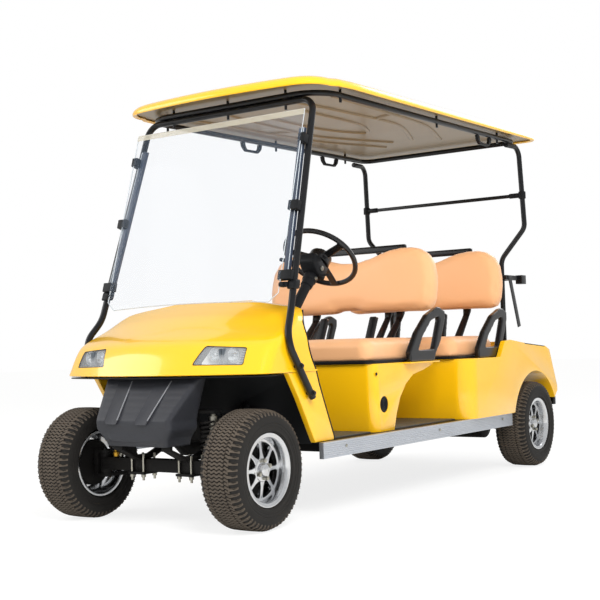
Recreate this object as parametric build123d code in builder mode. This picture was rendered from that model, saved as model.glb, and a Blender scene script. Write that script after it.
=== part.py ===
from build123d import *
import os
from math import atan2, cos, degrees, radians, sin, tan

# A four-seat golf cart with two forward-facing benches, a roof on four struts and a clear windshield.
# Millimetres. +Z up, ground at Z = 0, the front of the cart towards -Y, the driver's side at +X.
# The origin is the middle of the footprint. Places named *_F are measured rearwards from the front axle,
# and places named *_R rearwards from the rear axle.

os.makedirs("parts", exist_ok=True)

# ---------------------------------------------------------------- driving sizes
WHEELBASE = 2414.0
REAR_RAIL_R = 300.0
BUMPER_L = 38.5
FRONT_TRACK = 862.0
REAR_TRACK = 994.0
TYRE_D = 459.0
TYRE_W = 176.0
RIM_R = 140.5
FLOOR_Z = 307.0
SHEET = 6.0
GAP = 0.3
RUNNING_GAP = 0.05

TYRE_R = TYRE_D / 2
LENGTH = TYRE_R + WHEELBASE + REAR_RAIL_R + BUMPER_L
FRONT_Y = -LENGTH / 2 + TYRE_R
REAR_Y = FRONT_Y + WHEELBASE
AXLE_Z = TYRE_R


def front(offset):
    """Y of a place measured from the front axle."""
    return FRONT_Y + offset


def rear(offset):
    """Y of a place measured from the rear axle."""
    return REAR_Y + offset


def save(builder, name):
    """Label a finished piece and write its STEP file."""
    builder.part.label = name
    export_step(builder.part, f"parts/{name}.step")


def side_profile(points):
    """Closed outline in the YZ plane from (y, z) pairs, for a sketch on Plane.YZ."""
    Polygon(*points, align=None)


# ---------------------------------------------------------------- wheels
BEAD_R = 127.5
SHOULDER_R = TYRE_R - 4.0
TYRE_WALL = 13.0
RIM_HALF_W = 77.0
RIM_WALL = 5.0
FLANGE_T = 6.0
DISC_X = 26.0
DISC_T = 14.0
HUB_R = 44.0
HUB_IN_X = -34.0
HUB_OUT_X = 54.0
SPOKES = 8
SPOKE_W = 17.0
SPINDLE_R = 15.0
SPINDLE_END_X = 40.0
HUB_BORE_R = SPINDLE_R + RUNNING_GAP

# wheel name, side of the cart, wheel centre x, wheel centre y
WHEELS = (
    ("front_left", 1, FRONT_TRACK / 2, FRONT_Y),
    ("front_right", -1, -FRONT_TRACK / 2, FRONT_Y),
    ("rear_left", 1, REAR_TRACK / 2, REAR_Y),
    ("rear_right", -1, -REAR_TRACK / 2, REAR_Y),
)


def wheel_plane(side, x, y):
    """Plane whose Z runs outwards along the axle and whose X points up."""
    return Plane(origin=(x, y, AXLE_Z), x_dir=(0, 0, 1), z_dir=(side, 0, 0))


def make_tyre(name, side, x, y):
    """A road tyre as one ring with a hollow inside, open at the beads."""
    half = TYRE_W / 2
    outer = (
        # radius, place along the axle
        (BEAD_R, RIM_HALF_W - FLANGE_T - GAP),
        (RIM_R + 1.5, RIM_HALF_W - FLANGE_T - GAP),
        (RIM_R + 4.0, half - 4.0),
        (185.0, half),
        (SHOULDER_R - 10.0, half - 3.0),
        (SHOULDER_R, half - 16.0),
        (TYRE_R, half - 42.0),
    )
    inner = (
        (SHOULDER_R - TYRE_WALL, half - 42.0),
        (185.0, half - TYRE_WALL),
        (BEAD_R, RIM_HALF_W - FLANGE_T - TYRE_WALL),
    )
    loop = list(outer) + [(r, -a) for r, a in reversed(outer)]
    loop += [(r, -a) for r, a in reversed(inner)] + list(inner)
    with BuildPart() as tyre:
        with BuildSketch(Plane.XZ):
            with BuildLine():
                Polyline(*loop, close=True)
            make_face()
        revolve(axis=Axis.Z)
    placed = wheel_plane(side, x, y).location * tyre.part
    placed.label = f"tyre_{name}"
    export_step(placed, f"parts/tyre_{name}.step")


def make_rim(name, side, x, y):
    """A deep-dish alloy rim with eight spokes and a hub bored for its spindle."""
    window_mid_r = (HUB_R + 10.0 + BEAD_R - RIM_WALL - 6.0) / 2
    window_l = BEAD_R - RIM_WALL - 6.0 - HUB_R - 10.0
    with BuildPart() as rim:
        with BuildSketch(Plane.XY.offset(-RIM_HALF_W)):
            Circle(BEAD_R - GAP)
            Circle(BEAD_R - RIM_WALL, mode=Mode.SUBTRACT)
        extrude(amount=2 * RIM_HALF_W)
        for start in (-RIM_HALF_W, RIM_HALF_W - FLANGE_T):
            with BuildSketch(Plane.XY.offset(start)):
                Circle(RIM_R)
                Circle(BEAD_R - RIM_WALL, mode=Mode.SUBTRACT)
            extrude(amount=FLANGE_T)
        with BuildSketch(Plane.XY.offset(DISC_X)):
            Circle(BEAD_R - RIM_WALL / 2)
        extrude(amount=DISC_T)
        with BuildSketch(Plane.XY.offset(HUB_IN_X)):
            Circle(HUB_R)
        extrude(amount=HUB_OUT_X - HUB_IN_X)
        chamfer(rim.faces().sort_by(Axis.Z)[-1].edges(), 3.0)
        with BuildSketch(Plane.XY.offset(DISC_X)):
            with PolarLocations(0, SPOKES):
                with Locations((window_mid_r, 0)):
                    inner_w = 2 * (HUB_R + 10.0) * tan(radians(180 / SPOKES)) - SPOKE_W
                    outer_w = 2 * (BEAD_R - RIM_WALL - 6.0) * sin(radians(180 / SPOKES)) - SPOKE_W
                    Polygon(
                        (-window_l / 2, -inner_w / 2),
                        (window_l / 2 - 6.0, -outer_w / 2),
                        (window_l / 2, 0),
                        (window_l / 2 - 6.0, outer_w / 2),
                        (-window_l / 2, inner_w / 2),
                        align=None,
                    )
        extrude(amount=DISC_T, mode=Mode.SUBTRACT)
        with BuildSketch(Plane.XY.offset(HUB_IN_X)):
            Circle(HUB_BORE_R)
        extrude(amount=SPINDLE_END_X + 2.0 - HUB_IN_X, mode=Mode.SUBTRACT)
    placed = wheel_plane(side, x, y).location * rim.part
    placed.label = f"rim_{name}"
    export_step(placed, f"parts/rim_{name}.step")


# ---------------------------------------------------------------- front axle and steering
KINGPIN_X = 330.0
KINGPIN_R = 12.0
BARREL_R = 24.0
BARREL_H = 84.0
BEAM_W = 50.0
EAR_T = 14.0
EAR_R = 26.0
ARM_X = -30.0
ARM_BACK = 120.0
BALL_PIN_R = 8.0
TIE_ROD_R = 7.0
EYE_R = 18.0
EYE_T = 16.0
PINNED_SIDE = 1

BARREL_LOW_Z = AXLE_Z - BARREL_H / 2
BARREL_TOP_Z = AXLE_Z + BARREL_H / 2
ARM_Z = BARREL_LOW_Z - GAP - EAR_T
TIE_EYE_Z = ARM_Z + EAR_T + GAP


def make_front_axle_beam():
    """A square beam with an upright bored barrel at each end for the kingpins."""
    with BuildPart() as beam:
        with Locations((0, FRONT_Y, AXLE_Z)):
            Box(2 * KINGPIN_X, BEAM_W, BEAM_W)
        with BuildSketch(Plane.XY.offset(BARREL_LOW_Z)):
            with Locations((KINGPIN_X, FRONT_Y), (-KINGPIN_X, FRONT_Y)):
                Circle(BARREL_R)
        extrude(amount=BARREL_H)
        with BuildSketch(Plane.XY.offset(BARREL_LOW_Z)):
            with Locations((KINGPIN_X, FRONT_Y), (-KINGPIN_X, FRONT_Y)):
                Circle(KINGPIN_R + RUNNING_GAP)
        extrude(amount=BARREL_H, mode=Mode.SUBTRACT)
    save(beam, "front_axle_beam")


def make_knuckle(name, side):
    """Steering knuckle: two ears on a kingpin, an upright, a spindle and a steering arm."""
    pin_x = side * KINGPIN_X
    web_in = KINGPIN_X + BARREL_R + 6.0
    web_t = 16.0
    spindle_end = FRONT_TRACK / 2 + SPINDLE_END_X
    low_z = ARM_Z
    high_z = BARREL_TOP_Z + GAP
    ball = (side * (KINGPIN_X + ARM_X), FRONT_Y + ARM_BACK)
    with BuildPart() as knuckle:
        for z in (low_z, high_z):
            with BuildSketch(Plane.XY.offset(z)):
                with Locations((pin_x, FRONT_Y)):
                    Circle(EAR_R)
                with Locations((side * (KINGPIN_X + web_in + web_t) / 2, FRONT_Y)):
                    Rectangle(web_in + web_t - KINGPIN_X, 2 * EAR_R)
            extrude(amount=EAR_T)
        with BuildSketch(Plane.XY.offset(low_z)):
            with Locations((side * (web_in + web_t / 2), FRONT_Y)):
                Rectangle(web_t, 2 * EAR_R)
        extrude(amount=high_z + EAR_T - low_z)
        with BuildSketch(Plane.XY.offset(low_z)):
            with Locations((pin_x, FRONT_Y)):
                Circle(KINGPIN_R)
        extrude(amount=high_z - low_z)
        with BuildSketch(Plane(origin=(side * web_in, FRONT_Y, AXLE_Z), z_dir=(side, 0, 0))):
            Circle(SPINDLE_R)
        extrude(amount=spindle_end - web_in)
        with BuildSketch(Plane.XY.offset(low_z)):
            with BuildLine():
                Polyline(
                    (pin_x - side * 18.0, FRONT_Y + 10.0),
                    (ball[0] - side * 12.0, ball[1]),
                    (ball[0] + side * 12.0, ball[1]),
                    (pin_x + side * 18.0, FRONT_Y + 10.0),
                    close=True,
                )
            make_face()
            with Locations(ball):
                Circle(EYE_R - 2.0)
        extrude(amount=EAR_T)
        if side == PINNED_SIDE:
            with BuildSketch(Plane.XY.offset(low_z)):
                with Locations(ball):
                    Circle(BALL_PIN_R)
            extrude(amount=EAR_T + GAP + EYE_T)
    save(knuckle, f"knuckle_{name}")


def make_tie_rod():
    """Tie rod pinned to the left arm, with a closed ball end that rides over the right arm."""
    x = KINGPIN_X + ARM_X
    y = FRONT_Y + ARM_BACK
    with BuildPart() as rod:
        with BuildSketch(Plane.XY.offset(TIE_EYE_Z)):
            with Locations((x, y), (-x, y)):
                Circle(EYE_R)
        extrude(amount=EYE_T)
        with BuildSketch(Plane(origin=(-x, y, TIE_EYE_Z + EYE_T / 2), z_dir=(1, 0, 0))):
            RegularPolygon(TIE_ROD_R, 6)
        extrude(amount=2 * x)
        with BuildSketch(Plane.XY.offset(TIE_EYE_Z)):
            with Locations((PINNED_SIDE * x, y)):
                Circle(BALL_PIN_R + RUNNING_GAP)
        extrude(amount=EYE_T, mode=Mode.SUBTRACT)
    save(rod, "tie_rod")


# ---------------------------------------------------------------- rear axle, motor and battery
AXLE_TUBE_R = 34.0
BACKPLATE_R = 88.0
BACKPLATE_T = 8.0
BACKPLATE_X = REAR_TRACK / 2 - 60.0
DIFF_R = 84.0
DIFF_W = 150.0
DIFF_X = -70.0
MOTOR_R = 84.0
MOTOR_L = 250.0
MOTOR_F = -118.0
BATTERY_W = 760.0
BATTERY_L = 340.0
BATTERY_H = 250.0
BATTERY_R = -560.0


def make_rear_axle():
    """Axle tube with differential case, backing plates and the two spindles."""
    with BuildPart() as axle:
        with BuildSketch(Plane(origin=(-BACKPLATE_X, REAR_Y, AXLE_Z), z_dir=(1, 0, 0))):
            Circle(AXLE_TUBE_R)
        extrude(amount=2 * BACKPLATE_X)
        with BuildSketch(Plane(origin=(DIFF_X - DIFF_W / 2, REAR_Y, AXLE_Z), z_dir=(1, 0, 0))):
            Circle(DIFF_R)
        extrude(amount=DIFF_W)
        chamfer(axle.edges().filter_by(GeomType.CIRCLE).group_by(SortBy.RADIUS)[-1], 22.0)
        for side in (1, -1):
            with BuildSketch(Plane(origin=(side * BACKPLATE_X, REAR_Y, AXLE_Z), z_dir=(side, 0, 0))):
                Circle(BACKPLATE_R)
            extrude(amount=BACKPLATE_T)
            with BuildSketch(Plane(origin=(side * BACKPLATE_X, REAR_Y, AXLE_Z), z_dir=(side, 0, 0))):
                Circle(SPINDLE_R)
            extrude(amount=REAR_TRACK / 2 + SPINDLE_END_X - BACKPLATE_X)
    save(axle, "rear_axle")


def make_drive_motor():
    """The electric motor as one plain drum on the differential's left face."""
    with BuildPart() as motor:
        start = DIFF_X + DIFF_W / 2
        with BuildSketch(Plane(origin=(start, REAR_Y, AXLE_Z), z_dir=(1, 0, 0))):
            Circle(MOTOR_R)
            Circle(AXLE_TUBE_R + GAP, mode=Mode.SUBTRACT)
        extrude(amount=MOTOR_L)
    save(motor, "drive_motor")


def make_battery_pack():
    """The batteries as one plain block on the floor under the rear bench."""
    with BuildPart() as pack:
        with Locations((0, rear(BATTERY_R), FLOOR_Z + BATTERY_H / 2)):
            Box(BATTERY_W, BATTERY_L, BATTERY_H)
    save(pack, "battery_pack")


# ---------------------------------------------------------------- frame, springs and dampers
RAIL_X = 125.0
RAIL_W = 40.0
RAIL_H = 60.0
RAIL_MID_Z = FLOOR_Z - SHEET - GAP - RAIL_H
RAIL_HIGH_Z = 326.0
RAIL_REAR_Z = 318.0
FRONT_RAIL_F = -150.0
LEAF_W = 44.0
LEAF_T = 16.0
SEAT_HALF = 45.0
HANGER_W = 16.0
REAR_LEAF_X = 300.0
SPRING_FRONT_Z = AXLE_Z + BEAM_W / 2
SPRING_REAR_Z = AXLE_Z + AXLE_TUBE_R
DAMPER_R = 19.0
DAMPER_FRONT_X = 245.0
DAMPER_REAR_X = 375.0
SHOCK_TOP_Z = 440.0
BRACKET_T = 12.0
CROSS_W = 50.0


def rail_outline():
    """Side outline of a frame rail: raised over both axles, low under the floor."""
    top = RAIL_H
    return (
        (front(FRONT_RAIL_F), RAIL_HIGH_Z),
        (front(160.0), RAIL_HIGH_Z),
        (front(260.0), RAIL_MID_Z),
        (rear(-420.0), RAIL_MID_Z),
        (rear(-300.0), RAIL_REAR_Z),
        (rear(REAR_RAIL_R), RAIL_REAR_Z),
        (rear(REAR_RAIL_R), RAIL_REAR_Z + top),
        (rear(-318.0), RAIL_REAR_Z + top),
        (rear(-396.0), RAIL_MID_Z + top),
        (front(290.0), RAIL_MID_Z + top),
        (front(190.0), RAIL_HIGH_Z + top),
        (front(FRONT_RAIL_F), RAIL_HIGH_Z + top),
    )


def make_frame_rails():
    """The two long box rails of the chassis, one solid each."""
    with BuildPart() as rails:
        for side in (1, -1):
            with BuildSketch(Plane.YZ.offset(side * RAIL_X - RAIL_W / 2)):
                side_profile(rail_outline())
            extrude(amount=RAIL_W)
    save(rails, "frame_rails")


# place of a cross member: middle y, bottom z
CROSS_MEMBERS = (
    (front(FRONT_RAIL_F) + CROSS_W / 2, RAIL_HIGH_Z + 6.0),
    (front(420.0), RAIL_MID_Z + 6.0),
    (front(860.0), RAIL_MID_Z + 6.0),
    (front(1300.0), RAIL_MID_Z + 6.0),
    (rear(-480.0), RAIL_MID_Z + 6.0),
    (rear(REAR_RAIL_R) - CROSS_W / 2, RAIL_REAR_Z + 6.0),
)
OUTRIGGERS = (front(420.0), front(860.0), front(1300.0), rear(-480.0))
OUTRIGGER_H = 40.0
ROCKER_IN_X = 535.0
ROCKER_OUT_X = 557.0
REAR_BRACKET_Z = RAIL_REAR_Z + 32.0


def make_crossmembers():
    """Cross members between the rails, outriggers to the rockers and the spring and damper brackets."""
    inner = RAIL_X - RAIL_W / 2
    outer = RAIL_X + RAIL_W / 2
    height = RAIL_H - 12.0
    with BuildPart() as members:
        for y, z in CROSS_MEMBERS:
            with Locations((0, y, z + height / 2)):
                Box(2 * inner, CROSS_W, height)
        for y in OUTRIGGERS:
            for side in (1, -1):
                with Locations((side * (outer + ROCKER_IN_X - GAP) / 2, y,
                                RAIL_MID_Z + RAIL_H - OUTRIGGER_H / 2)):
                    Box(ROCKER_IN_X - GAP - outer, CROSS_W, OUTRIGGER_H)
        for side in (1, -1):
            reach = DAMPER_FRONT_X + DAMPER_R + 2.0
            post_h = SHOCK_TOP_Z + BRACKET_T - RAIL_HIGH_Z - 10.0
            with Locations((side * (outer + BRACKET_T / 2), FRONT_Y, RAIL_HIGH_Z + 10.0 + post_h / 2)):
                Box(BRACKET_T, CROSS_W, post_h)
            with Locations((side * (outer + reach) / 2, FRONT_Y, SHOCK_TOP_Z + BRACKET_T / 2)):
                Box(reach - outer, CROSS_W, BRACKET_T)
            reach = DAMPER_REAR_X + DAMPER_R + 2.0
            with Locations((side * (outer + reach) / 2, REAR_Y, REAR_BRACKET_Z + BRACKET_T)):
                Box(reach - outer, CROSS_W, 2 * BRACKET_T)
            reach = REAR_LEAF_X + LEAF_W / 2
            for y in (rear(-272.0), rear(272.0)):
                with Locations((side * (outer + reach) / 2, y, RAIL_REAR_Z + BRACKET_T)):
                    Box(reach - outer, LEAF_W, 2 * BRACKET_T)
    save(members, "frame_crossmembers")


# spring: side x, axle y, seat z, front eye y, rear eye y, eye bottom z, hanging surface z
SPRINGS = (
    (RAIL_X, FRONT_Y, SPRING_FRONT_Z, front(-138.0), front(150.0), RAIL_HIGH_Z - 26.0, RAIL_HIGH_Z),
    (REAR_LEAF_X, REAR_Y, SPRING_REAR_Z, rear(-272.0), rear(272.0), RAIL_REAR_Z - 28.0, RAIL_REAR_Z),
)


def make_leaf_springs():
    """Four leaf springs, flat on their axle seats, with a hanger at each eye."""
    eye_t = LEAF_T * 0.6
    with BuildPart() as springs:
        for x, y, seat_z, y_front, y_rear, eye_z, hang_z in SPRINGS:
            low = seat_z + GAP
            outline = (
                (y_front, eye_z),
                (y - SEAT_HALF, low),
                (y + SEAT_HALF, low),
                (y_rear, eye_z),
                (y_rear, eye_z + eye_t),
                (y + SEAT_HALF, low + LEAF_T),
                (y - SEAT_HALF, low + LEAF_T),
                (y_front, eye_z + eye_t),
            )
            for side in (1, -1):
                with BuildSketch(Plane.YZ.offset(side * x - LEAF_W / 2)):
                    side_profile(outline)
                extrude(amount=LEAF_W)
                for y_eye in (y_front, y_rear):
                    with Locations((side * x, y_eye, (eye_z + hang_z - GAP) / 2)):
                        Box(LEAF_W, HANGER_W, hang_z - GAP - eye_z)
    save(springs, "leaf_springs")


# damper: x, y, bottom z, top z
DAMPERS = (
    (DAMPER_FRONT_X, FRONT_Y, SPRING_FRONT_Z + GAP, SHOCK_TOP_Z - GAP),
    (DAMPER_REAR_X, REAR_Y, SPRING_REAR_Z + GAP, REAR_BRACKET_Z - GAP),
)


def make_dampers():
    """Four upright shock absorbers, a thin rod below and a fat body above."""
    with BuildPart() as dampers:
        for x, y, low, high in DAMPERS:
            middle = low + 0.45 * (high - low)
            for side in (1, -1):
                with BuildSketch(Plane.XY.offset(low)):
                    with Locations((side * x, y)):
                        Circle(DAMPER_R * 0.55)
                extrude(amount=high - low)
                with BuildSketch(Plane.XY.offset(middle)):
                    with Locations((side * x, y)):
                        Circle(DAMPER_R)
                extrude(amount=high - middle - 10.0)
    save(dampers, "dampers")


# ---------------------------------------------------------------- floor and rockers
TOE_LOW_F = 307.0
TOE_TOP_F = 200.0
TOE_TOP_Z = 579.7
FLOOR_HALF_W = 533.0
FLOOR_END_R = -430.0
SEAT_BOX_REAR_F = -822.0
LEG_IN_X = 498.0
ROCKER_F = 302.0
ROCKER_R = -302.0
ROCKER_LOW_Z = 242.0
GROOVES = 7
MAT_T = 5.0
MAT_HALF_W = 490.0


def make_floor_pan():
    """Flat floor from the toe board to under the rear seat box."""
    y_front = front(TOE_LOW_F) + GAP
    y_rear = rear(FLOOR_END_R)
    with BuildPart() as floor:
        with Locations((0, (y_front + y_rear) / 2, FLOOR_Z - SHEET / 2)):
            Box(2 * FLOOR_HALF_W, y_rear - y_front, SHEET)
    save(floor, "floor_pan")


def make_toe_board():
    """Sloping front wall of the footwell, with a hole for the steering column."""
    slope = atan2(TOE_LOW_F - TOE_TOP_F, TOE_TOP_Z - FLOOR_Z)
    outline = (
        (front(TOE_LOW_F), FLOOR_Z - SHEET),
        (front(TOE_LOW_F), FLOOR_Z),
        (front(TOE_TOP_F), TOE_TOP_Z),
        (front(TOE_TOP_F) - SHEET / cos(slope), TOE_TOP_Z),
        (front(TOE_LOW_F) - SHEET / cos(slope), FLOOR_Z - SHEET),
    )
    half_w = LEG_IN_X - GAP
    with BuildPart() as toe:
        with BuildSketch(Plane.YZ.offset(-half_w)):
            side_profile(outline)
        extrude(amount=2 * half_w)
        with BuildSketch(COLUMN_PLANE):
            Circle(COLUMN_R + GAP)
        extrude(amount=COLUMN_L + 200.0, mode=Mode.SUBTRACT)
    save(toe, "toe_board")


def make_floor_mats():
    """Ribbed mats in the front and rear footwells."""
    wells = (
        (front(TOE_LOW_F) + 12.0, front(PEDESTAL_F) - 12.0),
        (front(PEDESTAL_BACK_F) + 12.0, rear(SEAT_BOX_REAR_F) - 12.0),
    )
    with BuildPart() as mats:
        for low, high in wells:
            with Locations((0, (low + high) / 2, FLOOR_Z + GAP + MAT_T / 2)):
                Box(2 * MAT_HALF_W, high - low, MAT_T)
    save(mats, "floor_mats")


def make_rocker_panels():
    """Aluminium extrusions along both sides of the floor, grooved outside."""
    y_front = front(ROCKER_F)
    y_rear = rear(ROCKER_R)
    height = FLOOR_Z - ROCKER_LOW_Z
    pitch = height / (GROOVES + 1)
    with BuildPart() as rockers:
        for side in (1, -1):
            with Locations((side * (ROCKER_IN_X + ROCKER_OUT_X) / 2, (y_front + y_rear) / 2,
                            (FLOOR_Z + ROCKER_LOW_Z) / 2)):
                Box(ROCKER_OUT_X - ROCKER_IN_X, y_rear - y_front, height)
            for row in range(1, GROOVES + 1):
                with Locations((side * ROCKER_OUT_X, (y_front + y_rear) / 2, ROCKER_LOW_Z + row * pitch)):
                    Box(3.0, y_rear - y_front, 2.4, mode=Mode.SUBTRACT)
    save(rockers, "rocker_panels")


# ---------------------------------------------------------------- steering wheel, column and pedals
WHEEL_X = 222.0
WHEEL_F = 827.0
WHEEL_Z = 1087.0
WHEEL_TILT = 47.6
WHEEL_RIM_R = 168.0
WHEEL_RIM_T = 12.0
COLUMN_R = 22.0
COLUMN_L = 860.0
COLUMN_TOP = 70.0
SHAFT_R = 11.0

COLUMN_DIR = Vector(0, -cos(radians(WHEEL_TILT)), -sin(radians(WHEEL_TILT)))
WHEEL_POS = Vector(WHEEL_X, FRONT_Y + WHEEL_F, WHEEL_Z)
COLUMN_PLANE = Plane(
    origin=tuple(WHEEL_POS + COLUMN_DIR * COLUMN_TOP), x_dir=(1, 0, 0), z_dir=tuple(COLUMN_DIR)
)
WHEEL_PLANE = Plane(origin=tuple(WHEEL_POS), x_dir=(1, 0, 0), z_dir=tuple(COLUMN_DIR))


def make_steering_wheel():
    """Three-spoke steering wheel with its hub and the top of its shaft."""
    with BuildPart() as wheel:
        with BuildSketch(Plane(origin=WHEEL_PLANE.origin, x_dir=WHEEL_PLANE.z_dir, z_dir=(1, 0, 0))):
            with Locations((0, WHEEL_RIM_R)):
                Circle(WHEEL_RIM_T)
        revolve(axis=Axis(WHEEL_PLANE.origin, WHEEL_PLANE.z_dir))
        with BuildSketch(WHEEL_PLANE.offset(4.0)):
            for angle in (-90, 25, 155):
                with Locations(Location((0, 0, 0), (0, 0, angle))):
                    with Locations((WHEEL_RIM_R / 2, 0)):
                        Rectangle(WHEEL_RIM_R, 34.0)
        extrude(amount=10.0)
        with BuildSketch(WHEEL_PLANE.offset(-12.0)):
            Circle(52.0)
        extrude(amount=50.0)
        with BuildSketch(WHEEL_PLANE):
            Circle(SHAFT_R)
        extrude(amount=COLUMN_TOP + 60.0)
    save(wheel, "steering_wheel")


def make_steering_column():
    """Column jacket from under the wheel, through the toe board to the gear on the left rail."""
    with BuildPart() as column:
        with BuildSketch(COLUMN_PLANE):
            Circle(COLUMN_R)
        extrude(amount=COLUMN_L)
        with BuildSketch(COLUMN_PLANE):
            Circle(34.0)
        extrude(amount=110.0, taper=4.0)
        with BuildSketch(COLUMN_PLANE):
            Circle(SHAFT_R + RUNNING_GAP)
        extrude(amount=64.0, mode=Mode.SUBTRACT)
        gear_in = RAIL_X + RAIL_W / 2 + GAP
        gear_out = WHEEL_X + 10.0
        with Locations(((gear_in + gear_out) / 2, front(192.0), 392.0)):
            Box(gear_out - gear_in, 60.0, 64.0)
        with Locations((WHEEL_X + 58.0, COLUMN_PLANE.origin.Y - 28.0, COLUMN_PLANE.origin.Z - 34.0)):
            Box(72.0, 8.0, 8.0)
    save(column, "steering_column")


def make_pedals():
    """Accelerator and brake pedals on arms from the toe board."""
    slope = (TOE_LOW_F - TOE_TOP_F) / (TOE_TOP_Z - FLOOR_Z)
    with BuildPart() as pedals:
        for x, width in ((330.0, 62.0), (130.0, 84.0)):
            pad_z = 392.0
            wall_y = front(TOE_LOW_F - slope * (pad_z - FLOOR_Z))
            with Locations((x, wall_y + 38.0, pad_z)):
                Box(width, 76.0, 14.0)
            with Locations((x, wall_y + 70.0, pad_z + 6.0)):
                Box(width, 14.0, 96.0)
            with Locations((x, wall_y + 5.0, pad_z)):
                Box(width, 40.0, 60.0)
        with BuildSketch(Plane.YZ.offset(0)):
            side_profile((
                (front(TOE_LOW_F), FLOOR_Z - SHEET),
                (front(TOE_LOW_F), FLOOR_Z),
                (front(TOE_TOP_F), TOE_TOP_Z),
                (front(0), TOE_TOP_Z),
                (front(0), FLOOR_Z - SHEET),
            ))
        extrude(amount=500.0, mode=Mode.SUBTRACT)
    save(pedals, "pedals")


# ---------------------------------------------------------------- front body
COWL_WALL = 5.0
COWL_LOW_Z = 590.0
LEG_OUT_X = 524.0
# level of the nose: z, half width, front centre from the axle, arc sag to the corner, corner radius,
# back, share of the hollow's drop
NOSE = (
    (590.0, 524.0, -150.0, 121.0, 60.0, 314.0, 0.0),
    (703.0, 524.0, -82.0, 120.0, 70.0, 260.0, 0.5),
    (780.0, 503.0, 75.0, 110.0, 50.0, 258.0, 1.0),
    (845.0, 440.0, 215.0, 54.0, 26.0, 334.0, 1.0),
    (885.0, 205.0, 305.0, 4.0, 6.0, 330.0, 1.1),
)


def nose_section(level, inset, z_shift=0.0, back_extra=0.0):
    """One horizontal outline of the nose, drawn in by an inset."""
    z, half_w, centre, sag, corner_r, back, _ = level
    w = half_w - inset
    y_mid = front(centre) + inset * 1.35
    y_corner = y_mid + sag
    y_back = front(back) + back_extra
    with BuildSketch(Plane.XY.offset(z + z_shift)) as section:
        with BuildLine():
            arc = ThreePointArc((-w, y_corner), (0, y_mid), (w, y_corner))
            Line(arc @ 1, (w, y_back))
            Line((w, y_back), (-w, y_back))
            Line((-w, y_back), arc @ 0)
        make_face()
        corners = section.vertices().filter_by(lambda v: abs(v.Y - y_corner) < 1e-6)
        fillet(corners, max(corner_r - inset, 4.0))
    return section.sketch


def nose_solid(inset, drop, back_extra=0.0):
    """The nose as a loft through its levels; inset and drop give the hollow inside it."""
    sections = []
    for level in NOSE:
        shift = -drop * level[-1]
        if inset and level is NOSE[0]:
            shift = -1.0
        sections.append(nose_section(level, inset, shift, back_extra))
    return loft(sections, ruled=True)


LEG_OUTLINE = (
    (front(107.0), COWL_LOW_Z),
    (front(123.0), COWL_LOW_Z - 4.0),
    (front(190.0), 487.0),
    (front(290.0), 316.0),
    (front(297.0), FLOOR_Z + GAP),
    (front(431.0), FLOOR_Z + GAP),
    (front(431.0), 322.0),
    (front(398.0), 393.0),
    (front(333.0), 536.0),
    (front(302.0), 615.0),
    (front(264.0), 694.0),
    (front(107.0), 694.0),
)

# corner of the left lamp, seen from the front: x, z
LAMP_CORNERS = ((431.0, 693.0), (262.0, 703.0), (231.0, 629.0), (436.0, 626.0))
LAMP_DEPTH = 42.0


def lamp_prism(side, shrink):
    """Prism through a headlamp's outline, along the cart."""
    cx = sum(x for x, z in LAMP_CORNERS) / 4
    cz = sum(z for x, z in LAMP_CORNERS) / 4
    points = []
    for x, z in LAMP_CORNERS:
        sx = x - shrink * (1 if x > cx else -1)
        sz = z - shrink * (1 if z > cz else -1)
        points.append((side * sx, sz))
    with BuildPart() as prism:
        with BuildSketch(Plane.XZ.offset(-front(-160.0))):
            with BuildLine():
                Polyline(*points, close=True)
            make_face()
        extrude(amount=-300.0)
    return prism.part


def make_front_cowl():
    """The yellow nose with the two legs that run down behind the wheels to the rockers."""
    outer = nose_solid(0.0, 0.0)
    hollow = nose_solid(COWL_WALL, COWL_WALL, 40.0)
    windows = [lamp_prism(side, 0.0) for side in (1, -1)]
    with BuildPart() as cowl:
        add(outer)
        add(hollow, mode=Mode.SUBTRACT)
        for side in (1, -1):
            low = LEG_IN_X if side > 0 else -LEG_OUT_X
            with BuildSketch(Plane.YZ.offset(low)):
                side_profile(LEG_OUTLINE)
            extrude(amount=LEG_OUT_X - LEG_IN_X)
        add(windows, mode=Mode.SUBTRACT)
    save(cowl, "front_cowl")


def make_headlamps():
    """Two wedge headlamps that fill their windows in the nose."""
    outer = nose_solid(0.0, 0.0)
    inner = nose_solid(LAMP_DEPTH, LAMP_DEPTH, 60.0)
    wedges = [lamp_prism(side, GAP) & outer for side in (1, -1)]
    with BuildPart() as lamps:
        add(wedges)
        add(inner, mode=Mode.SUBTRACT)
    save(lamps, "headlamps")


DASH_WALL = 12.0
# side outline of the dashboard: place from the front axle, z
DASH = (
    (130.0, COWL_LOW_Z + 10.0),
    (300.0, COWL_LOW_Z + 10.0),
    (256.0, 703.0),
    (254.0, 780.0),
    (322.0, 845.0),
    (326.0, 900.0),
    (90.0, 900.0),
)


def make_dashboard():
    """Black dashboard that closes the back of the nose, hollow towards the front."""
    limit = nose_solid(COWL_WALL + GAP, COWL_WALL + GAP, 40.0)
    with BuildPart() as dash:
        with BuildSketch(Plane.YZ.offset(-LEG_IN_X + GAP)):
            side_profile([(front(f), z) for f, z in DASH])
        extrude(amount=2 * (LEG_IN_X - GAP))
        add(limit, mode=Mode.INTERSECT)
        with BuildSketch(Plane.YZ.offset(-LEG_IN_X + DASH_WALL)):
            side_profile([
                (front(f) - (DASH_WALL if f > 200.0 else 40.0), z + (DASH_WALL if z < 620.0 else 0.0))
                for f, z in DASH[:4]
            ] + [(front(300.0), 836.0), (front(120.0), 800.0), (front(70.0), 700.0)])
        extrude(amount=2 * (LEG_IN_X - DASH_WALL), mode=Mode.SUBTRACT)
        with BuildSketch(COLUMN_PLANE):
            Circle(COLUMN_R + GAP)
        extrude(amount=COLUMN_L, mode=Mode.SUBTRACT)
    save(dash, "dashboard")


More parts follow.
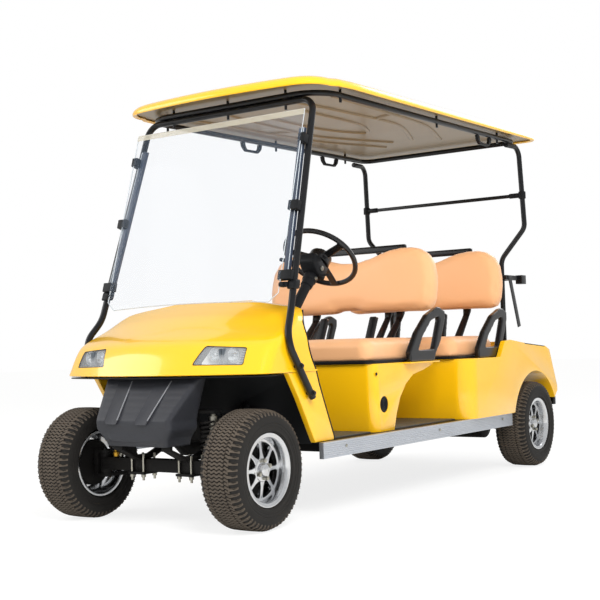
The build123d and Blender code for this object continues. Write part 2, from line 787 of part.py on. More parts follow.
# level of the lower bumper: z, half width, front from the axle
CHIN = (
    (580.0, 244.0, -82.0),
    (421.0, 194.0, -205.0),
    (385.0, 195.0, -200.0),
    (349.0, 166.0, -190.0),
    (316.0, 156.0, -172.0),
)
CHIN_BACK = -32.0
CHIN_WALL = 6.0
CHIN_CORNER = 12.0
CHIN_MOUNT_Z = 356.0


def chin_solid(inset):
    """The lower bumper's loft, drawn in by a wall thickness."""
    sections = []
    for z, half_w, nose in CHIN:
        shift = 0.0
        if inset:
            shift = -1.0 if z == CHIN[-1][0] else (1.0 if z == CHIN[0][0] else 0.0)
        w = half_w - inset
        y_back = front(CHIN_BACK) + (20.0 if inset else 0.0)
        with BuildSketch(Plane.XY.offset(z + shift)) as section:
            with BuildLine():
                Polyline(
                    (-w, front(nose) + CHIN_CORNER + inset),
                    (-w + CHIN_CORNER, front(nose) + inset),
                    (w - CHIN_CORNER, front(nose) + inset),
                    (w, front(nose) + CHIN_CORNER + inset),
                    (w, y_back),
                    (-w, y_back),
                    close=True,
                )
            make_face()
        sections.append(section.sketch)
    return loft(sections, ruled=True)


def make_front_bumper():
    """Black lower bumper, a shell open behind and below, with a mounting pad on the frame's end."""
    outer = chin_solid(0.0)
    hollow = chin_solid(CHIN_WALL)
    with BuildPart() as bumper:
        add(outer)
        add(hollow, mode=Mode.SUBTRACT)
        pad_front = front(-196.0)
        pad_back = front(FRONT_RAIL_F) - GAP
        with Locations((0, (pad_front + pad_back) / 2, CHIN_MOUNT_Z)):
            Box(2 * (RAIL_X + RAIL_W / 2) - 40.0, pad_back - pad_front, 36.0)
    save(bumper, "front_bumper")


TRAY_T = 5.0
TRAY_BACK_F = 206.0


def make_nose_tray():
    """Black tray that closes the nose from below, over the wheels."""
    low = CHIN[0][0] + GAP
    with BuildPart() as tray:
        add(nose_section(NOSE[0], COWL_WALL + 2.0, low - NOSE[0][0]))
        extrude(amount=TRAY_T)
        with Locations((0, (front(TRAY_BACK_F) + front(400.0)) / 2, low)):
            Box(1300.0, 400.0 - TRAY_BACK_F, 60.0, mode=Mode.SUBTRACT)
        for side in (1, -1):
            with Locations((side * (LEG_IN_X - GAP + 50.0), front(259.0), low)):
                Box(100.0, 400.0, 60.0, mode=Mode.SUBTRACT)
    save(tray, "nose_tray")


# ---------------------------------------------------------------- front seat base and rear body
PEDESTAL_F = 787.0
PEDESTAL_BACK_F = 945.0
PEDESTAL_HALF_W = 512.0
PEDESTAL_UPRIGHT_R = 46.0
PEDESTAL_WALL = 5.0
SEAT_Z = 604.0
SEAT_PLATE_HALF_W = 550.0
SEAT_PLATE_F = (1045.0, 1325.0)
HATCH_HOLE_R = 36.0

# side outline of the front seat base: place from the front axle, z
PEDESTAL = (
    (PEDESTAL_F, FLOOR_Z + GAP),
    (PEDESTAL_F - 10.0, SEAT_Z),
    (1325.0, SEAT_Z),
    (1325.0, 590.0),
    (1240.0, 566.0),
    (1130.0, 546.0),
    (1060.0, 506.0),
    (1004.0, 448.0),
    (966.0, 372.0),
    (PEDESTAL_BACK_F, FLOOR_Z + GAP),
)


def make_front_seat_base():
    """Hollow pedestal under the front bench, undercut behind for the rear riders' feet."""
    plate_f, plate_back = SEAT_PLATE_F
    with BuildPart() as hollow:
        with BuildSketch(Plane.YZ.offset(-PEDESTAL_HALF_W + PEDESTAL_WALL)):
            side_profile([
                (front(f) + (PEDESTAL_WALL if f < 900.0 else -PEDESTAL_WALL - 3.0),
                 z + (SHEET if z < 400.0 else (20.0 if z >= SEAT_Z else 0.0) + (5.0 if 500 < z < 600 else 0.0)))
                for f, z in PEDESTAL
            ])
        extrude(amount=2 * (PEDESTAL_HALF_W - PEDESTAL_WALL))
        uprights = hollow.edges().filter_by(lambda e: abs(e.center().Y - front(PEDESTAL_F - 5.0) - PEDESTAL_WALL) < 2.0
                                            and abs(abs(e.center().X) - PEDESTAL_HALF_W + PEDESTAL_WALL) < 1.0)
        fillet(uprights, PEDESTAL_UPRIGHT_R - PEDESTAL_WALL)
    with BuildPart() as base:
        with BuildSketch(Plane.YZ.offset(-PEDESTAL_HALF_W)):
            side_profile([(front(f), z) for f, z in PEDESTAL])
        extrude(amount=2 * PEDESTAL_HALF_W)
        uprights = base.edges().filter_by(lambda e: abs(e.center().Y - front(PEDESTAL_F - 5.0)) < 1.0
                                          and abs(abs(e.center().X) - PEDESTAL_HALF_W) < 1.0)
        fillet(uprights, PEDESTAL_UPRIGHT_R)
        add(hollow.part, mode=Mode.SUBTRACT)
        with Locations((0, front((plate_f + plate_back) / 2), SEAT_Z - SHEET / 2)):
            Box(2 * SEAT_PLATE_HALF_W, plate_back - plate_f, SHEET)
        with BuildSketch(Plane.YZ.offset(PEDESTAL_HALF_W - 20.0)):
            with Locations((front(862.0), 425.0)):
                Circle(HATCH_HOLE_R)
        extrude(amount=40.0, mode=Mode.SUBTRACT)
    save(base, "front_seat_base")


BODY_HALF_W = 573.0
BODY_WALL = 6.0
BODY_UPRIGHT_R = 90.0
BODY_LOW_Z = FLOOR_Z + GAP
ARCH_R = 300.0
ARCH_Z = 218.0
ARCH_SHIFT = -14.0
ARCH_IN_X = 346.0
RECESS_HALF_W = 549.0
RECESS_R = (-470.0, -250.0)
DECK_R = (-146.0, 135.0)
DECK_Z = (672.0, 652.0)
DECK_T = 5.0
WELL_HALF_W = 340.0
WELL_FRONT_R = -120.0
WELL_BACK_R = 110.0
WELL_FLOOR_Z = 470.0
WELL_WALL = 5.0

# side outline of the rear body: place from the rear axle, z
REAR_OUTLINE = (
    (SEAT_BOX_REAR_F, BODY_LOW_Z),
    (SEAT_BOX_REAR_F, SEAT_Z),
    (-460.0, SEAT_Z),
    (-399.0, 686.0),
    (-326.0, 691.0),
    (DECK_R[0], DECK_Z[0]),
    (DECK_R[0] + 0.4, DECK_Z[0] - DECK_T - GAP),
    (DECK_R[1] - 0.4, DECK_Z[1] - DECK_T - GAP),
    (DECK_R[1], DECK_Z[1]),
    (196.0, 630.0),
    (292.0, 424.0),
    (292.0, 392.0),
    (286.0, 392.0),
    (240.0, 350.0),
    (-330.0, BODY_LOW_Z),
)


def make_rear_body():
    """Yellow rear body: hollow seat box with a recess for the bench, wheel arches and tail."""
    inner = []
    for r, z in REAR_OUTLINE:
        shift_y = BODY_WALL if r < -500.0 else (-BODY_WALL if r > 0 else BODY_WALL * 0.7)
        shift_z = -12.0 if z < 400.0 else -BODY_WALL
        inner.append((rear(r) + shift_y, z + shift_z))
    with BuildPart() as outer:
        with BuildSketch(Plane.YZ.offset(-BODY_HALF_W)):
            side_profile([(rear(r), z) for r, z in REAR_OUTLINE])
        extrude(amount=2 * BODY_HALF_W)
        uprights = outer.edges().filter_by(lambda e: abs(e.center().Y - rear(SEAT_BOX_REAR_F)) < 1.0
                                           and abs(abs(e.center().X) - BODY_HALF_W) < 1.0)
        fillet(uprights, BODY_UPRIGHT_R)
    with BuildPart() as cavity:
        with BuildSketch(Plane.YZ.offset(-BODY_HALF_W + BODY_WALL)):
            side_profile(inner)
        extrude(amount=2 * (BODY_HALF_W - BODY_WALL))
        uprights = cavity.edges().filter_by(lambda e: abs(e.center().Y - rear(SEAT_BOX_REAR_F) - BODY_WALL) < 1.0
                                            and abs(abs(e.center().X) - BODY_HALF_W + BODY_WALL) < 1.0)
        fillet(uprights, BODY_UPRIGHT_R - BODY_WALL)
    recess_front, recess_back = RECESS_R
    with BuildPart() as linings:
        with Locations((0, rear((recess_front + 20.0 + recess_back + BODY_WALL) / 2), (SEAT_Z - SHEET + 690.0) / 2)):
            Box(2 * (RECESS_HALF_W + BODY_WALL), recess_back + BODY_WALL - recess_front - 20.0,
                690.0 - SEAT_Z + SHEET)
        for side in (1, -1):
            x_in = ARCH_IN_X if side > 0 else -BODY_HALF_W + 1.0
            with BuildSketch(Plane.YZ.offset(x_in)):
                with Locations((rear(ARCH_SHIFT), ARCH_Z)):
                    Circle(ARCH_R + 4.0)
            extrude(amount=BODY_HALF_W - 1.0 - ARCH_IN_X)
    with BuildPart() as body:
        add(outer.part)
        add(cavity.part, mode=Mode.SUBTRACT)
        add(linings.part & outer.part)
        with Locations((0, rear((recess_front + recess_back) / 2), SEAT_Z + 60.0)):
            Box(2 * RECESS_HALF_W, recess_back - recess_front, 120.0, mode=Mode.SUBTRACT)
        for side in (1, -1):
            x_in = ARCH_IN_X if side > 0 else -700.0
            with BuildSketch(Plane.YZ.offset(x_in)):
                with Locations((rear(ARCH_SHIFT), ARCH_Z)):
                    Circle(ARCH_R)
            extrude(amount=700.0 - ARCH_IN_X, mode=Mode.SUBTRACT)
        with Locations((0, rear((WELL_FRONT_R + WELL_BACK_R) / 2), 660.0)):
            Box(2 * (WELL_HALF_W + WELL_WALL + 1.0), WELL_BACK_R - WELL_FRONT_R + 2 * WELL_WALL + 2.0, 60.0,
                mode=Mode.SUBTRACT)
        with Locations((0, rear(-663.0), SEAT_Z)):
            Box(2 * (BODY_HALF_W - 110.0), 240.0, 60.0, mode=Mode.SUBTRACT)
    save(body, "rear_body")


def make_bag_well():
    """Black deck over the tail with an open well for two golf bags."""
    deck = (
        (rear(DECK_R[0] + 1.0), DECK_Z[0] - DECK_T),
        (rear(DECK_R[1] - 1.0), DECK_Z[1] - DECK_T),
        (rear(DECK_R[1] - 1.0), DECK_Z[1]),
        (rear(DECK_R[0] + 1.0), DECK_Z[0]),
    )
    well_y = rear((WELL_FRONT_R + WELL_BACK_R) / 2)
    well_l = WELL_BACK_R - WELL_FRONT_R
    with BuildPart() as well:
        with BuildSketch(Plane.YZ.offset(-BODY_HALF_W + 3.0)):
            side_profile(deck)
        extrude(amount=2 * (BODY_HALF_W - 3.0))
        with Locations((0, well_y, (WELL_FLOOR_Z - WELL_WALL + 656.0) / 2)):
            Box(2 * (WELL_HALF_W + WELL_WALL), well_l + 2 * WELL_WALL, 656.0 - WELL_FLOOR_Z + WELL_WALL)
        with Locations((0, well_y, WELL_FLOOR_Z + 150.0)):
            Box(2 * WELL_HALF_W, well_l, 300.0, mode=Mode.SUBTRACT)
    save(well, "bag_well")


HITCH_BOLT_R = 6.5
HITCH_X = 90.0
HITCH_Z = 50.0


def make_rear_bumper():
    """Rear bumper bar on the frame's end, with four holes for a tow plate."""
    y_back = rear(REAR_RAIL_R + BUMPER_L)
    y_front = rear(REAR_RAIL_R) + GAP
    z_mid = 366.0
    with BuildPart() as bumper:
        with Locations((0, (y_front + y_back) / 2, z_mid)):
            Box(2 * 545.0, y_back - y_front, 100.0)
        fillet(bumper.edges().filter_by(Axis.Z), 12.0)
        with Locations((0, (y_front + y_back) / 2 - 8.0, z_mid)):
            Box(2 * 538.0, y_back - y_front - 12.0, 88.0, mode=Mode.SUBTRACT)
        with Locations((0, (y_front + y_back) / 2, z_mid)):
            Box(2 * RAIL_X + RAIL_W, y_back - y_front, 88.0)
        with BuildSketch(Plane.XZ.offset(-y_back)):
            with Locations((0, z_mid)):
                with GridLocations(HITCH_X, HITCH_Z, 2, 2):
                    Circle(HITCH_BOLT_R)
        extrude(amount=y_back - y_front, mode=Mode.SUBTRACT)
    save(bumper, "rear_bumper")


def make_tail_lamps():
    """Two upright tail lamps on the sloping tail."""
    with BuildPart() as lamps:
        slope = atan2(292.0 - 196.0, 630.0 - 424.0)
        for side in (1, -1):
            face = Plane(
                origin=(side * 500.0, rear(248.0), 518.4), x_dir=(1, 0, 0), z_dir=(0, cos(slope), sin(slope))
            )
            with BuildSketch(face.offset(GAP)):
                RectangleRounded(70.0, 110.0, 14.0)
            extrude(amount=16.0)
    save(lamps, "tail_lamps")


# ---------------------------------------------------------------- benches
CUSHION_HALF_W = 506.0
CUSHION_L = 520.0
CUSHION_T = 108.0
CUSHION_Z = SEAT_Z + GAP
FRONT_CUSHION_F = 762.0
REAR_CUSHION_R = -842.0
BACK_HALF_W = 506.0
BACK_T = 100.0
BACK_H = 356.0
BACK_DIP_H = 302.0
BACK_LEAN = 7.0
BACK_CHAMFER = 14.0

# bench: name, backrest face y, backrest bottom z, y of the arms' feet, z where the arms start to lean
BACKS = (
    ("front", front(1378.0), 830.0, front(1290.0), 640.0),
    ("rear", rear(-286.0), 850.0, rear(-316.0), 700.0),
)


def make_seat_cushion(name, y_front):
    """Plain closed solid of a bench cushion."""
    with BuildPart() as cushion:
        with Locations((0, y_front + CUSHION_L / 2, CUSHION_Z + CUSHION_T / 2)):
            Box(2 * CUSHION_HALF_W, CUSHION_L, CUSHION_T)
        fillet(cushion.edges().filter_by(Axis.Z), 60.0)
        fillet(cushion.faces().sort_by(Axis.Z)[-1].edges(), 34.0)
    save(cushion, f"{name}_seat_cushion")


def make_seat_back(name, y_face, low_z):
    """Backrest with a raised hump for each rider and a dip between them."""
    lean = radians(BACK_LEAN)
    height = BACK_H / cos(lean)
    dip = BACK_DIP_H / cos(lean)
    plane = Plane(origin=(0, y_face, low_z), x_dir=(-1, 0, 0), z_dir=(0, cos(lean), -sin(lean)))
    half = (
        (60.0, 16.0), (130.0, 0), (BACK_HALF_W, 0), (BACK_HALF_W, height - 130.0),
        (BACK_HALF_W - 26.0, height - 66.0), (BACK_HALF_W - 90.0, height - 14.0),
        (290.0, height), (200.0, height - 8.0), (90.0, dip),
    )
    with BuildPart() as back:
        with BuildSketch(plane):
            Polygon(*half, *[(-x, z) for x, z in reversed(half)], align=None)
        extrude(amount=BACK_T)
        chamfer(back.faces().sort_by(SortBy.AREA)[-2:].edges(), BACK_CHAMFER)
    save(back, f"{name}_seat_back")


BACK_ARM_X = 250.0
BACK_ARM_W = 44.0
BACK_ARM_T = 30.0
FOOT_L = 34.0
POST_X = 145.0
POST_W = 36.0
PANEL_H = 36.0


def make_backrest_brackets():
    """Flat arms and square posts behind each backrest, tied by a black cross panel at the top."""
    slope = tan(radians(BACK_LEAN))
    depth = BACK_T / cos(radians(BACK_LEAN)) + GAP + 1.2
    with BuildPart() as brackets:
        for name, y_face, low_z, y_foot, knee_z in BACKS:
            foot_z = SEAT_Z + GAP
            top_z = low_z + BACK_H
            start_z = low_z - 16.0
            y_top = y_face + BACK_H * slope + depth
            y_panel = y_face + (BACK_H - PANEL_H) * slope + depth
            arm = (
                (y_foot, foot_z),
                (y_foot + FOOT_L, foot_z),
                (y_foot + FOOT_L, knee_z),
                (y_face + depth + BACK_ARM_T, start_z + 20.0),
                (y_top + BACK_ARM_T, top_z),
                (y_top, top_z),
                (y_face + depth, start_z),
                (y_foot, knee_z),
            )
            post = (
                (y_foot, foot_z),
                (y_foot + FOOT_L, foot_z),
                (y_face + 56.0, low_z - 56.0 * slope - 2 * GAP),
                (y_face + 22.0, low_z - 22.0 * slope - 2 * GAP),
            )
            for outline, x, width in ((arm, BACK_ARM_X, BACK_ARM_W), (post, POST_X, POST_W)):
                for side in (1, -1):
                    with BuildSketch(Plane.YZ.offset(side * x - width / 2)):
                        side_profile(outline)
                    extrude(amount=width)
            with BuildSketch(Plane.YZ.offset(-BACK_ARM_X)):
                side_profile((
                    (y_panel, top_z - PANEL_H),
                    (y_top, top_z),
                    (y_top + 20.0, top_z),
                    (y_panel + 20.0, top_z - PANEL_H),
                ))
            extrude(amount=2 * BACK_ARM_X)
    save(brackets, "backrest_brackets")


ARMREST_X = (516.0, 546.0)
# side outline and opening of an armrest: place from its front heel, z
ARMREST_OUTLINE = (
    (4.0, SEAT_Z + GAP), (0.0, 650.0), (72.0, 738.0), (176.0, 819.0), (272.0, 854.0), (296.0, 858.0),
    (354.0, 836.0), (352.0, 800.0), (300.0, 694.0), (243.0, 631.0), (236.0, SEAT_Z + GAP),
)
ARMREST_OPENING = ((80.0, 655.0), (235.0, 660.0), (300.0, 800.0), (285.0, 812.0), (210.0, 790.0), (120.0, 715.0))
ARMRESTS_Y = (front(1052.0), rear(-654.0))


def make_armrests():
    """Four black hip restraints: leaning closed loops that stand beside the bench cushions."""
    x_in, x_out = ARMREST_X
    with BuildPart() as arms:
        for y in ARMRESTS_Y:
            for low in (x_in, -x_out):
                with BuildSketch(Plane.YZ.offset(low)):
                    Polygon(*[(y + along, z) for along, z in ARMREST_OUTLINE], align=None)
                    Polygon(*[(y + along, z) for along, z in ARMREST_OPENING], align=None, mode=Mode.SUBTRACT)
                extrude(amount=x_out - x_in)
    save(arms, "armrests")


# ---------------------------------------------------------------- roof, struts and windshield
ROOF_TILT = 1.105
ROOF_MID_Y = 190.0
ROOF_LIP_Z = 1783.0
ROOF_HALF_L = 1136.0
ROOF_HALF_W = 560.0
ROOF_FRONT_HALF_W = 530.0
ROOF_BOW = 56.0
ROOF_REAR_CORNER_R = 35.0
ROOF_WALL = 5.0
ROOF_TAPER_L = 240.0
LINER_Z = 12.0
LINER_INSET = 14.4
LINER_T = 8.0
RING_R = 13.0
RING_HALF_W = 485.0
TUBE_R = 14.0

ROOF_PLANE = Plane(
    origin=(0, ROOF_MID_Y, ROOF_LIP_Z),
    x_dir=(1, 0, 0),
    z_dir=(0, -sin(radians(ROOF_TILT)), cos(radians(ROOF_TILT))),
)


def roof_z(y, above=0.0):
    """Height of the roof's tilted lip plane at a place along the cart."""
    return ROOF_LIP_Z + (y - ROOF_MID_Y) * tan(radians(ROOF_TILT)) + above


def roof_outline(inset, height):
    """Plan outline of the roof at a height over its lip, tapered and rounded at the front."""
    w = ROOF_HALF_W - inset
    w_front = ROOF_FRONT_HALF_W - inset
    half_l = ROOF_HALF_L - inset
    with BuildSketch(ROOF_PLANE.offset(height)) as section:
        with BuildLine():
            bow = ThreePointArc((-w_front, -half_l + ROOF_BOW), (0, -half_l), (w_front, -half_l + ROOF_BOW))
            Line(bow @ 1, (w, -half_l + ROOF_TAPER_L))
            Line((w, -half_l + ROOF_TAPER_L), (w, half_l))
            Line((w, half_l), (-w, half_l))
            Line((-w, half_l), (-w, -half_l + ROOF_TAPER_L))
            Line((-w, -half_l + ROOF_TAPER_L), bow @ 0)
        make_face()
        fillet(section.vertices().sort_by(Axis.Y)[-2:], max(ROOF_REAR_CORNER_R - inset * 0.1, 12.0))
        fillet(section.vertices().sort_by(Axis.Y)[:2], 60.0)
    return section.sketch


# level of the roof panel: inset, height over the lip
ROOF_LEVELS = ((6.0, 0.0), (0.0, 14.0), (16.0, 34.0), (90.0, 51.0), (240.0, 62.0))


def make_roof_panel():
    """Yellow roof shell, crowned on top and open underneath."""
    outer = [roof_outline(inset, height) for inset, height in ROOF_LEVELS]
    inner = [roof_outline(inset + ROOF_WALL, height - (ROOF_WALL if height else 1.0))
             for inset, height in ROOF_LEVELS]
    with BuildPart() as roof:
        add(loft(outer, ruled=True))
        add(loft(inner, ruled=True), mode=Mode.SUBTRACT)
    save(roof, "roof_panel")


def make_roof_liner():
    """Tan ceiling panel inside the roof, with raised ribs along it."""
    with BuildPart() as liner:
        add(roof_outline(LINER_INSET, LINER_Z))
        extrude(amount=LINER_T)
        for x in (-330.0, -110.0, 110.0, 330.0):
            with BuildSketch(ROOF_PLANE.offset(LINER_Z)):
                with Locations((x, 40.0)):
                    RectangleRounded(110.0, 1500.0, 50.0)
            extrude(amount=-10.0)
    save(liner, "roof_liner")


HOOP_F = 462.5
RING_REAR_R = 18.0
# bolt through the ring: side place x (0 for both sides of the ring), y
RING_BOLTS = (
    (RING_HALF_W, -642.0), (-RING_HALF_W, -642.0), (RING_HALF_W, 240.0), (-RING_HALF_W, 240.0),
    (RING_HALF_W, 940.0), (-RING_HALF_W, 940.0),
)
FRONT_BOLTS_X = (-310.0, 0.0, 310.0)


def on_roof(y):
    """Place along the roof's own plane for a y of the cart."""
    return (y - ROOF_MID_Y) / cos(radians(ROOF_TILT))


RING_FRONT_BEND_R = 140.0
RING_REAR_BEND_R = 60.0
RING_BOLT_R = 6.0
RING_BOLT_DROP = 18.0


def make_roof_frame():
    """Black tube ring under the roof's edge, butted at each bend, with through bolts up to the roof."""
    y_front = on_roof(front(HOOP_F))
    y_rear = on_roof(rear(RING_REAR_R))
    with BuildPart() as ring:
        with BuildLine(ROOF_PLANE.offset(-RING_R)) as path:
            FilletPolyline((0, y_rear), (RING_HALF_W, y_rear), (RING_HALF_W, y_front), (0, y_front),
                           radius=[RING_REAR_BEND_R, RING_FRONT_BEND_R])
        with BuildSketch(Plane(origin=path.line @ 0, z_dir=path.line % 0)):
            Circle(RING_R)
        sweep()
        mirror(about=Plane.YZ)
        # butt joints at the ends of the four bends
        with BuildSketch(ROOF_PLANE.offset(-2 * RING_R - 1.0)):
            for side in (1, -1):
                with Locations((side * RING_HALF_W, y_front + RING_FRONT_BEND_R + 2.0),
                               (side * RING_HALF_W, y_rear - RING_REAR_BEND_R - 2.0)):
                    Rectangle(4 * RING_R, GAP)
                with Locations((side * (RING_HALF_W - RING_FRONT_BEND_R - 2.0), y_front),
                               (side * (RING_HALF_W - RING_REAR_BEND_R - 2.0), y_rear)):
                    Rectangle(GAP, 4 * RING_R)
        extrude(amount=2 * RING_R + 2.0, mode=Mode.SUBTRACT)
        # clearance holes for the bolts
        with BuildSketch(ROOF_PLANE.offset(-2 * RING_R - 1.0)):
            with Locations(*[(x, on_roof(y)) for x, y in RING_BOLTS], *[(x, y_front) for x in FRONT_BOLTS_X]):
                Circle(RING_BOLT_R + GAP)
        extrude(amount=2 * RING_R + 2.0, mode=Mode.SUBTRACT)
        with BuildSketch(ROOF_PLANE.offset(-2 * RING_R - RING_BOLT_DROP)):
            with Locations(*[(x, on_roof(y)) for x, y in RING_BOLTS]):
                Circle(RING_BOLT_R)
        extrude(amount=2 * RING_R + RING_BOLT_DROP + LINER_Z - GAP)
        with BuildSketch(ROOF_PLANE.offset(-2 * RING_R)):
            with Locations(*[(x, y_front) for x in FRONT_BOLTS_X]):
                Circle(RING_BOLT_R)
        extrude(amount=2 * RING_R + LINER_Z - GAP)
    save(ring, "roof_frame")


# bolt that holds the strut's foot to the cowl's leg: share of the way down the lowest run
FOOT_BOLTS = (0.45, 0.92)
FOOT_BOLT_R = 8.0
HOOP_Z = roof_z(front(HOOP_F)) - 2 * RING_R - TUBE_R - GAP
STRUT_STANDOFF = 4.0
STRUT_FOOT_X = LEG_OUT_X + TUBE_R + STRUT_STANDOFF
# centreline of the left half of the front hoop: x, place from the front axle, z, bend radius
FRONT_STRUT = (
    (0.0, HOOP_F, HOOP_Z, 0),
    (454.0, HOOP_F, HOOP_Z, 65.0),
    (506.5, 173.0, 826.0, 180.0),
    (STRUT_FOOT_X, 90.4, 718.0, 90.0),
    (STRUT_FOOT_X, 256.3, 487.5, 0),
)
CORNER_R = 36.0
REAR_STRUT_X = 360.0


def deck_z(place):
    """Height of the sloping deck's top at a place from the rear axle."""
    share = (place - DECK_R[0]) / (DECK_R[1] - DECK_R[0])
    return DECK_Z[0] + share * (DECK_Z[1] - DECK_Z[0])


# centreline of the left rear strut: x, place from the rear axle, z, bend radius
REAR_STRUT = (
    (REAR_STRUT_X, 66.0, deck_z(66.0 - TUBE_R) + GAP, 0),
    (REAR_STRUT_X, 66.0, 1143.0, 90.0),
    (507.0, 66.0, 1313.0, 70.0),
    (500.0, CORNER_R, roof_z(rear(CORNER_R)) - 2 * RING_R - TUBE_R - 1.0, 60.0),
    (490.0, -110.0, roof_z(rear(-110.0)) - 2 * RING_R - TUBE_R - 1.0, 0),
)


def strut_path(rows, axle_y):
    """Straight runs joined by tangent arcs through a strut's corner points."""
    points = [(x, axle_y + offset_y, z) for x, offset_y, z, bend in rows]
    return FilletPolyline(*points, radius=[bend for *place, bend in rows[1:-1]])


def make_front_struts():
    """One bent hoop from the cowl's left side over under the roof ring and down the right side."""
    with BuildPart() as struts:
        with BuildLine() as path:
            strut_path(FRONT_STRUT, FRONT_Y)
        with BuildSketch(Plane(origin=path.line @ 0, z_dir=path.line % 0)):
            Circle(TUBE_R)
        sweep()
        mirror(about=Plane.YZ)
        (_, knee_f, knee_z, _), (_, foot_f, foot_z, _) = FRONT_STRUT[-2:]
        for share in FOOT_BOLTS:
            y = front(knee_f + share * (foot_f - knee_f))
            z = knee_z + share * (foot_z - knee_z)
            for side in (1, -1):
                with BuildSketch(Plane(origin=(side * STRUT_FOOT_X, y, z), z_dir=(-side, 0, 0))):
                    Circle(FOOT_BOLT_R)
                extrude(amount=TUBE_R + STRUT_STANDOFF - GAP)
        for x in FRONT_BOLTS_X:
            with BuildSketch(Plane.XY.offset(HOOP_Z - TUBE_R - 18.0)):
                with Locations((x, front(HOOP_F))):
                    Circle(6.0)
            extrude(amount=TUBE_R + 18.0)
    save(struts, "front_struts")


def make_rear_struts():
    """Two bent tubes from the deck up to the roof ring, turned forward under it."""
    with BuildPart() as struts:
        with BuildLine() as path:
            strut_path(REAR_STRUT, REAR_Y)
        with BuildSketch(Plane(origin=path.line @ 0, z_dir=path.line % 0)):
            Circle(TUBE_R)
        sweep()
        mirror(about=Plane.YZ)
    save(struts, "rear_struts")


CROSSBAR_R = 10.0
CROSSBAR_Z = 1495.0


def make_strut_crossbar():
    """Bar between the rear struts."""
    _, _, (x0, r0, z0, _), (x1, r1, z1, _), _ = REAR_STRUT
    share = (CROSSBAR_Z - z0) / (z1 - z0)
    x = x0 + share * (x1 - x0) - TUBE_R - 2 * GAP
    with BuildPart() as bar:
        with BuildSketch(Plane(origin=(-x, rear(r0 + share * (r1 - r0)), CROSSBAR_Z), z_dir=(1, 0, 0))):
            Circle(CROSSBAR_R)
        extrude(amount=2 * x)
    save(bar, "strut_crossbar")


GLASS_T = 5.0
GLASS_LOW = (150.0, 868.0)
GLASS_TOP = (386.0, 1666.0)
GLASS_HALF_W = 457.0
GLASS_CUT = (42.0, 36.0)
GLASS_ARCH = 12.0
GLASS_LEAN = atan2(GLASS_TOP[0] - GLASS_LOW[0], GLASS_TOP[1] - GLASS_LOW[1])
GLASS_H = (GLASS_TOP[1] - GLASS_LOW[1]) / cos(GLASS_LEAN)
GLASS_PLANE = Plane(
    origin=(0, front(GLASS_LOW[0]), GLASS_LOW[1]), x_dir=(1, 0, 0), z_dir=(0, -cos(GLASS_LEAN), sin(GLASS_LEAN))
)
CLIP_H = 40.0
# height of each windshield clip's middle
CLIPS_Z = (975.0, 1260.0, 1545.0)


def make_windshield():
    """Clear one-piece windshield with cut lower corners."""
    with BuildPart() as glass:
        with BuildSketch(GLASS_PLANE):
            with BuildLine():
                cut_x, cut_z = GLASS_CUT
                low_x = GLASS_HALF_W - cut_x
                ThreePointArc((-low_x, 0), (0, GLASS_ARCH), (low_x, 0))
                Polyline(
                    (low_x, 0), (GLASS_HALF_W, cut_z), (GLASS_HALF_W, GLASS_H), (-GLASS_HALF_W, GLASS_H),
                    (-GLASS_HALF_W, cut_z), (-low_x, 0)
                )
            make_face()
        extrude(amount=GLASS_T)
    save(glass, "windshield")


def make_windshield_clips():
    """Six rubber pads that join the windshield's edges to the front hoop."""
    _, (top_x, top_f, top_z, _), (low_x, low_f, low_z, _), *_ = FRONT_STRUT
    with BuildPart() as clips:
        for z in CLIPS_Z:
            share = (z - low_z) / (top_z - low_z)
            x_strut = low_x + share * (top_x - low_x)
            f_strut = low_f + share * (top_f - low_f)
            depth = (f_strut - GLASS_LOW[0]) * cos(GLASS_LEAN) - (z - GLASS_LOW[1]) * sin(GLASS_LEAN)
            pad_t = depth - TUBE_R - 4 * GAP
            x_in = GLASS_HALF_W - 15.0
            x_out = x_strut + 8.0
            with BuildSketch(GLASS_PLANE.offset(-GAP)):
                for side in (1, -1):
                    with Locations((side * (x_in + x_out) / 2, (z - GLASS_LOW[1]) / cos(GLASS_LEAN))):
                        Rectangle(x_out - x_in, CLIP_H)
            extrude(amount=-pad_t)
    save(clips, "windshield_clips")


# grab handle: side of the cart, middle place from the front axle
GRABS = ((-1, 1280.0), (-1, 2030.0), (1, 2030.0))
GRAB_L = 175.0
GRAB_DROP = 47.0
GRAB_T = 12.0
GRAB_R = 8.0


def make_grab_handles():
    """Three D-shaped grab handles under the roof ring."""
    slope = tan(radians(ROOF_TILT))
    with BuildPart() as grabs:
        for side, place in GRABS:
            y = front(place)
            half = GRAB_L / 2
            base = (
                # along the handle, down from the ring
                (-half, 0.0), (-half + 8.0, 26.0), (-half + 34.0, GRAB_DROP), (half - 34.0, GRAB_DROP),
                (half - 8.0, 26.0), (half, 0.0), (half - 26.0, 0.0), (half - 30.0, 20.0),
                (half - 42.0, GRAB_DROP - GRAB_T), (-half + 42.0, GRAB_DROP - GRAB_T), (-half + 30.0, 20.0),
                (-half + 26.0, 0.0),
            )
            top = roof_z(y) - 2 * RING_R - 2 * GAP
            with BuildSketch(Plane.YZ.offset(side * RING_HALF_W - GRAB_R)):
                Polygon(*[(y + along, top - down + along * slope) for along, down in base], align=None)
            extrude(amount=2 * GRAB_R)
    save(grabs, "grab_handles")


HOLDER_Z = 1042.0
STRAP_T = 4.0


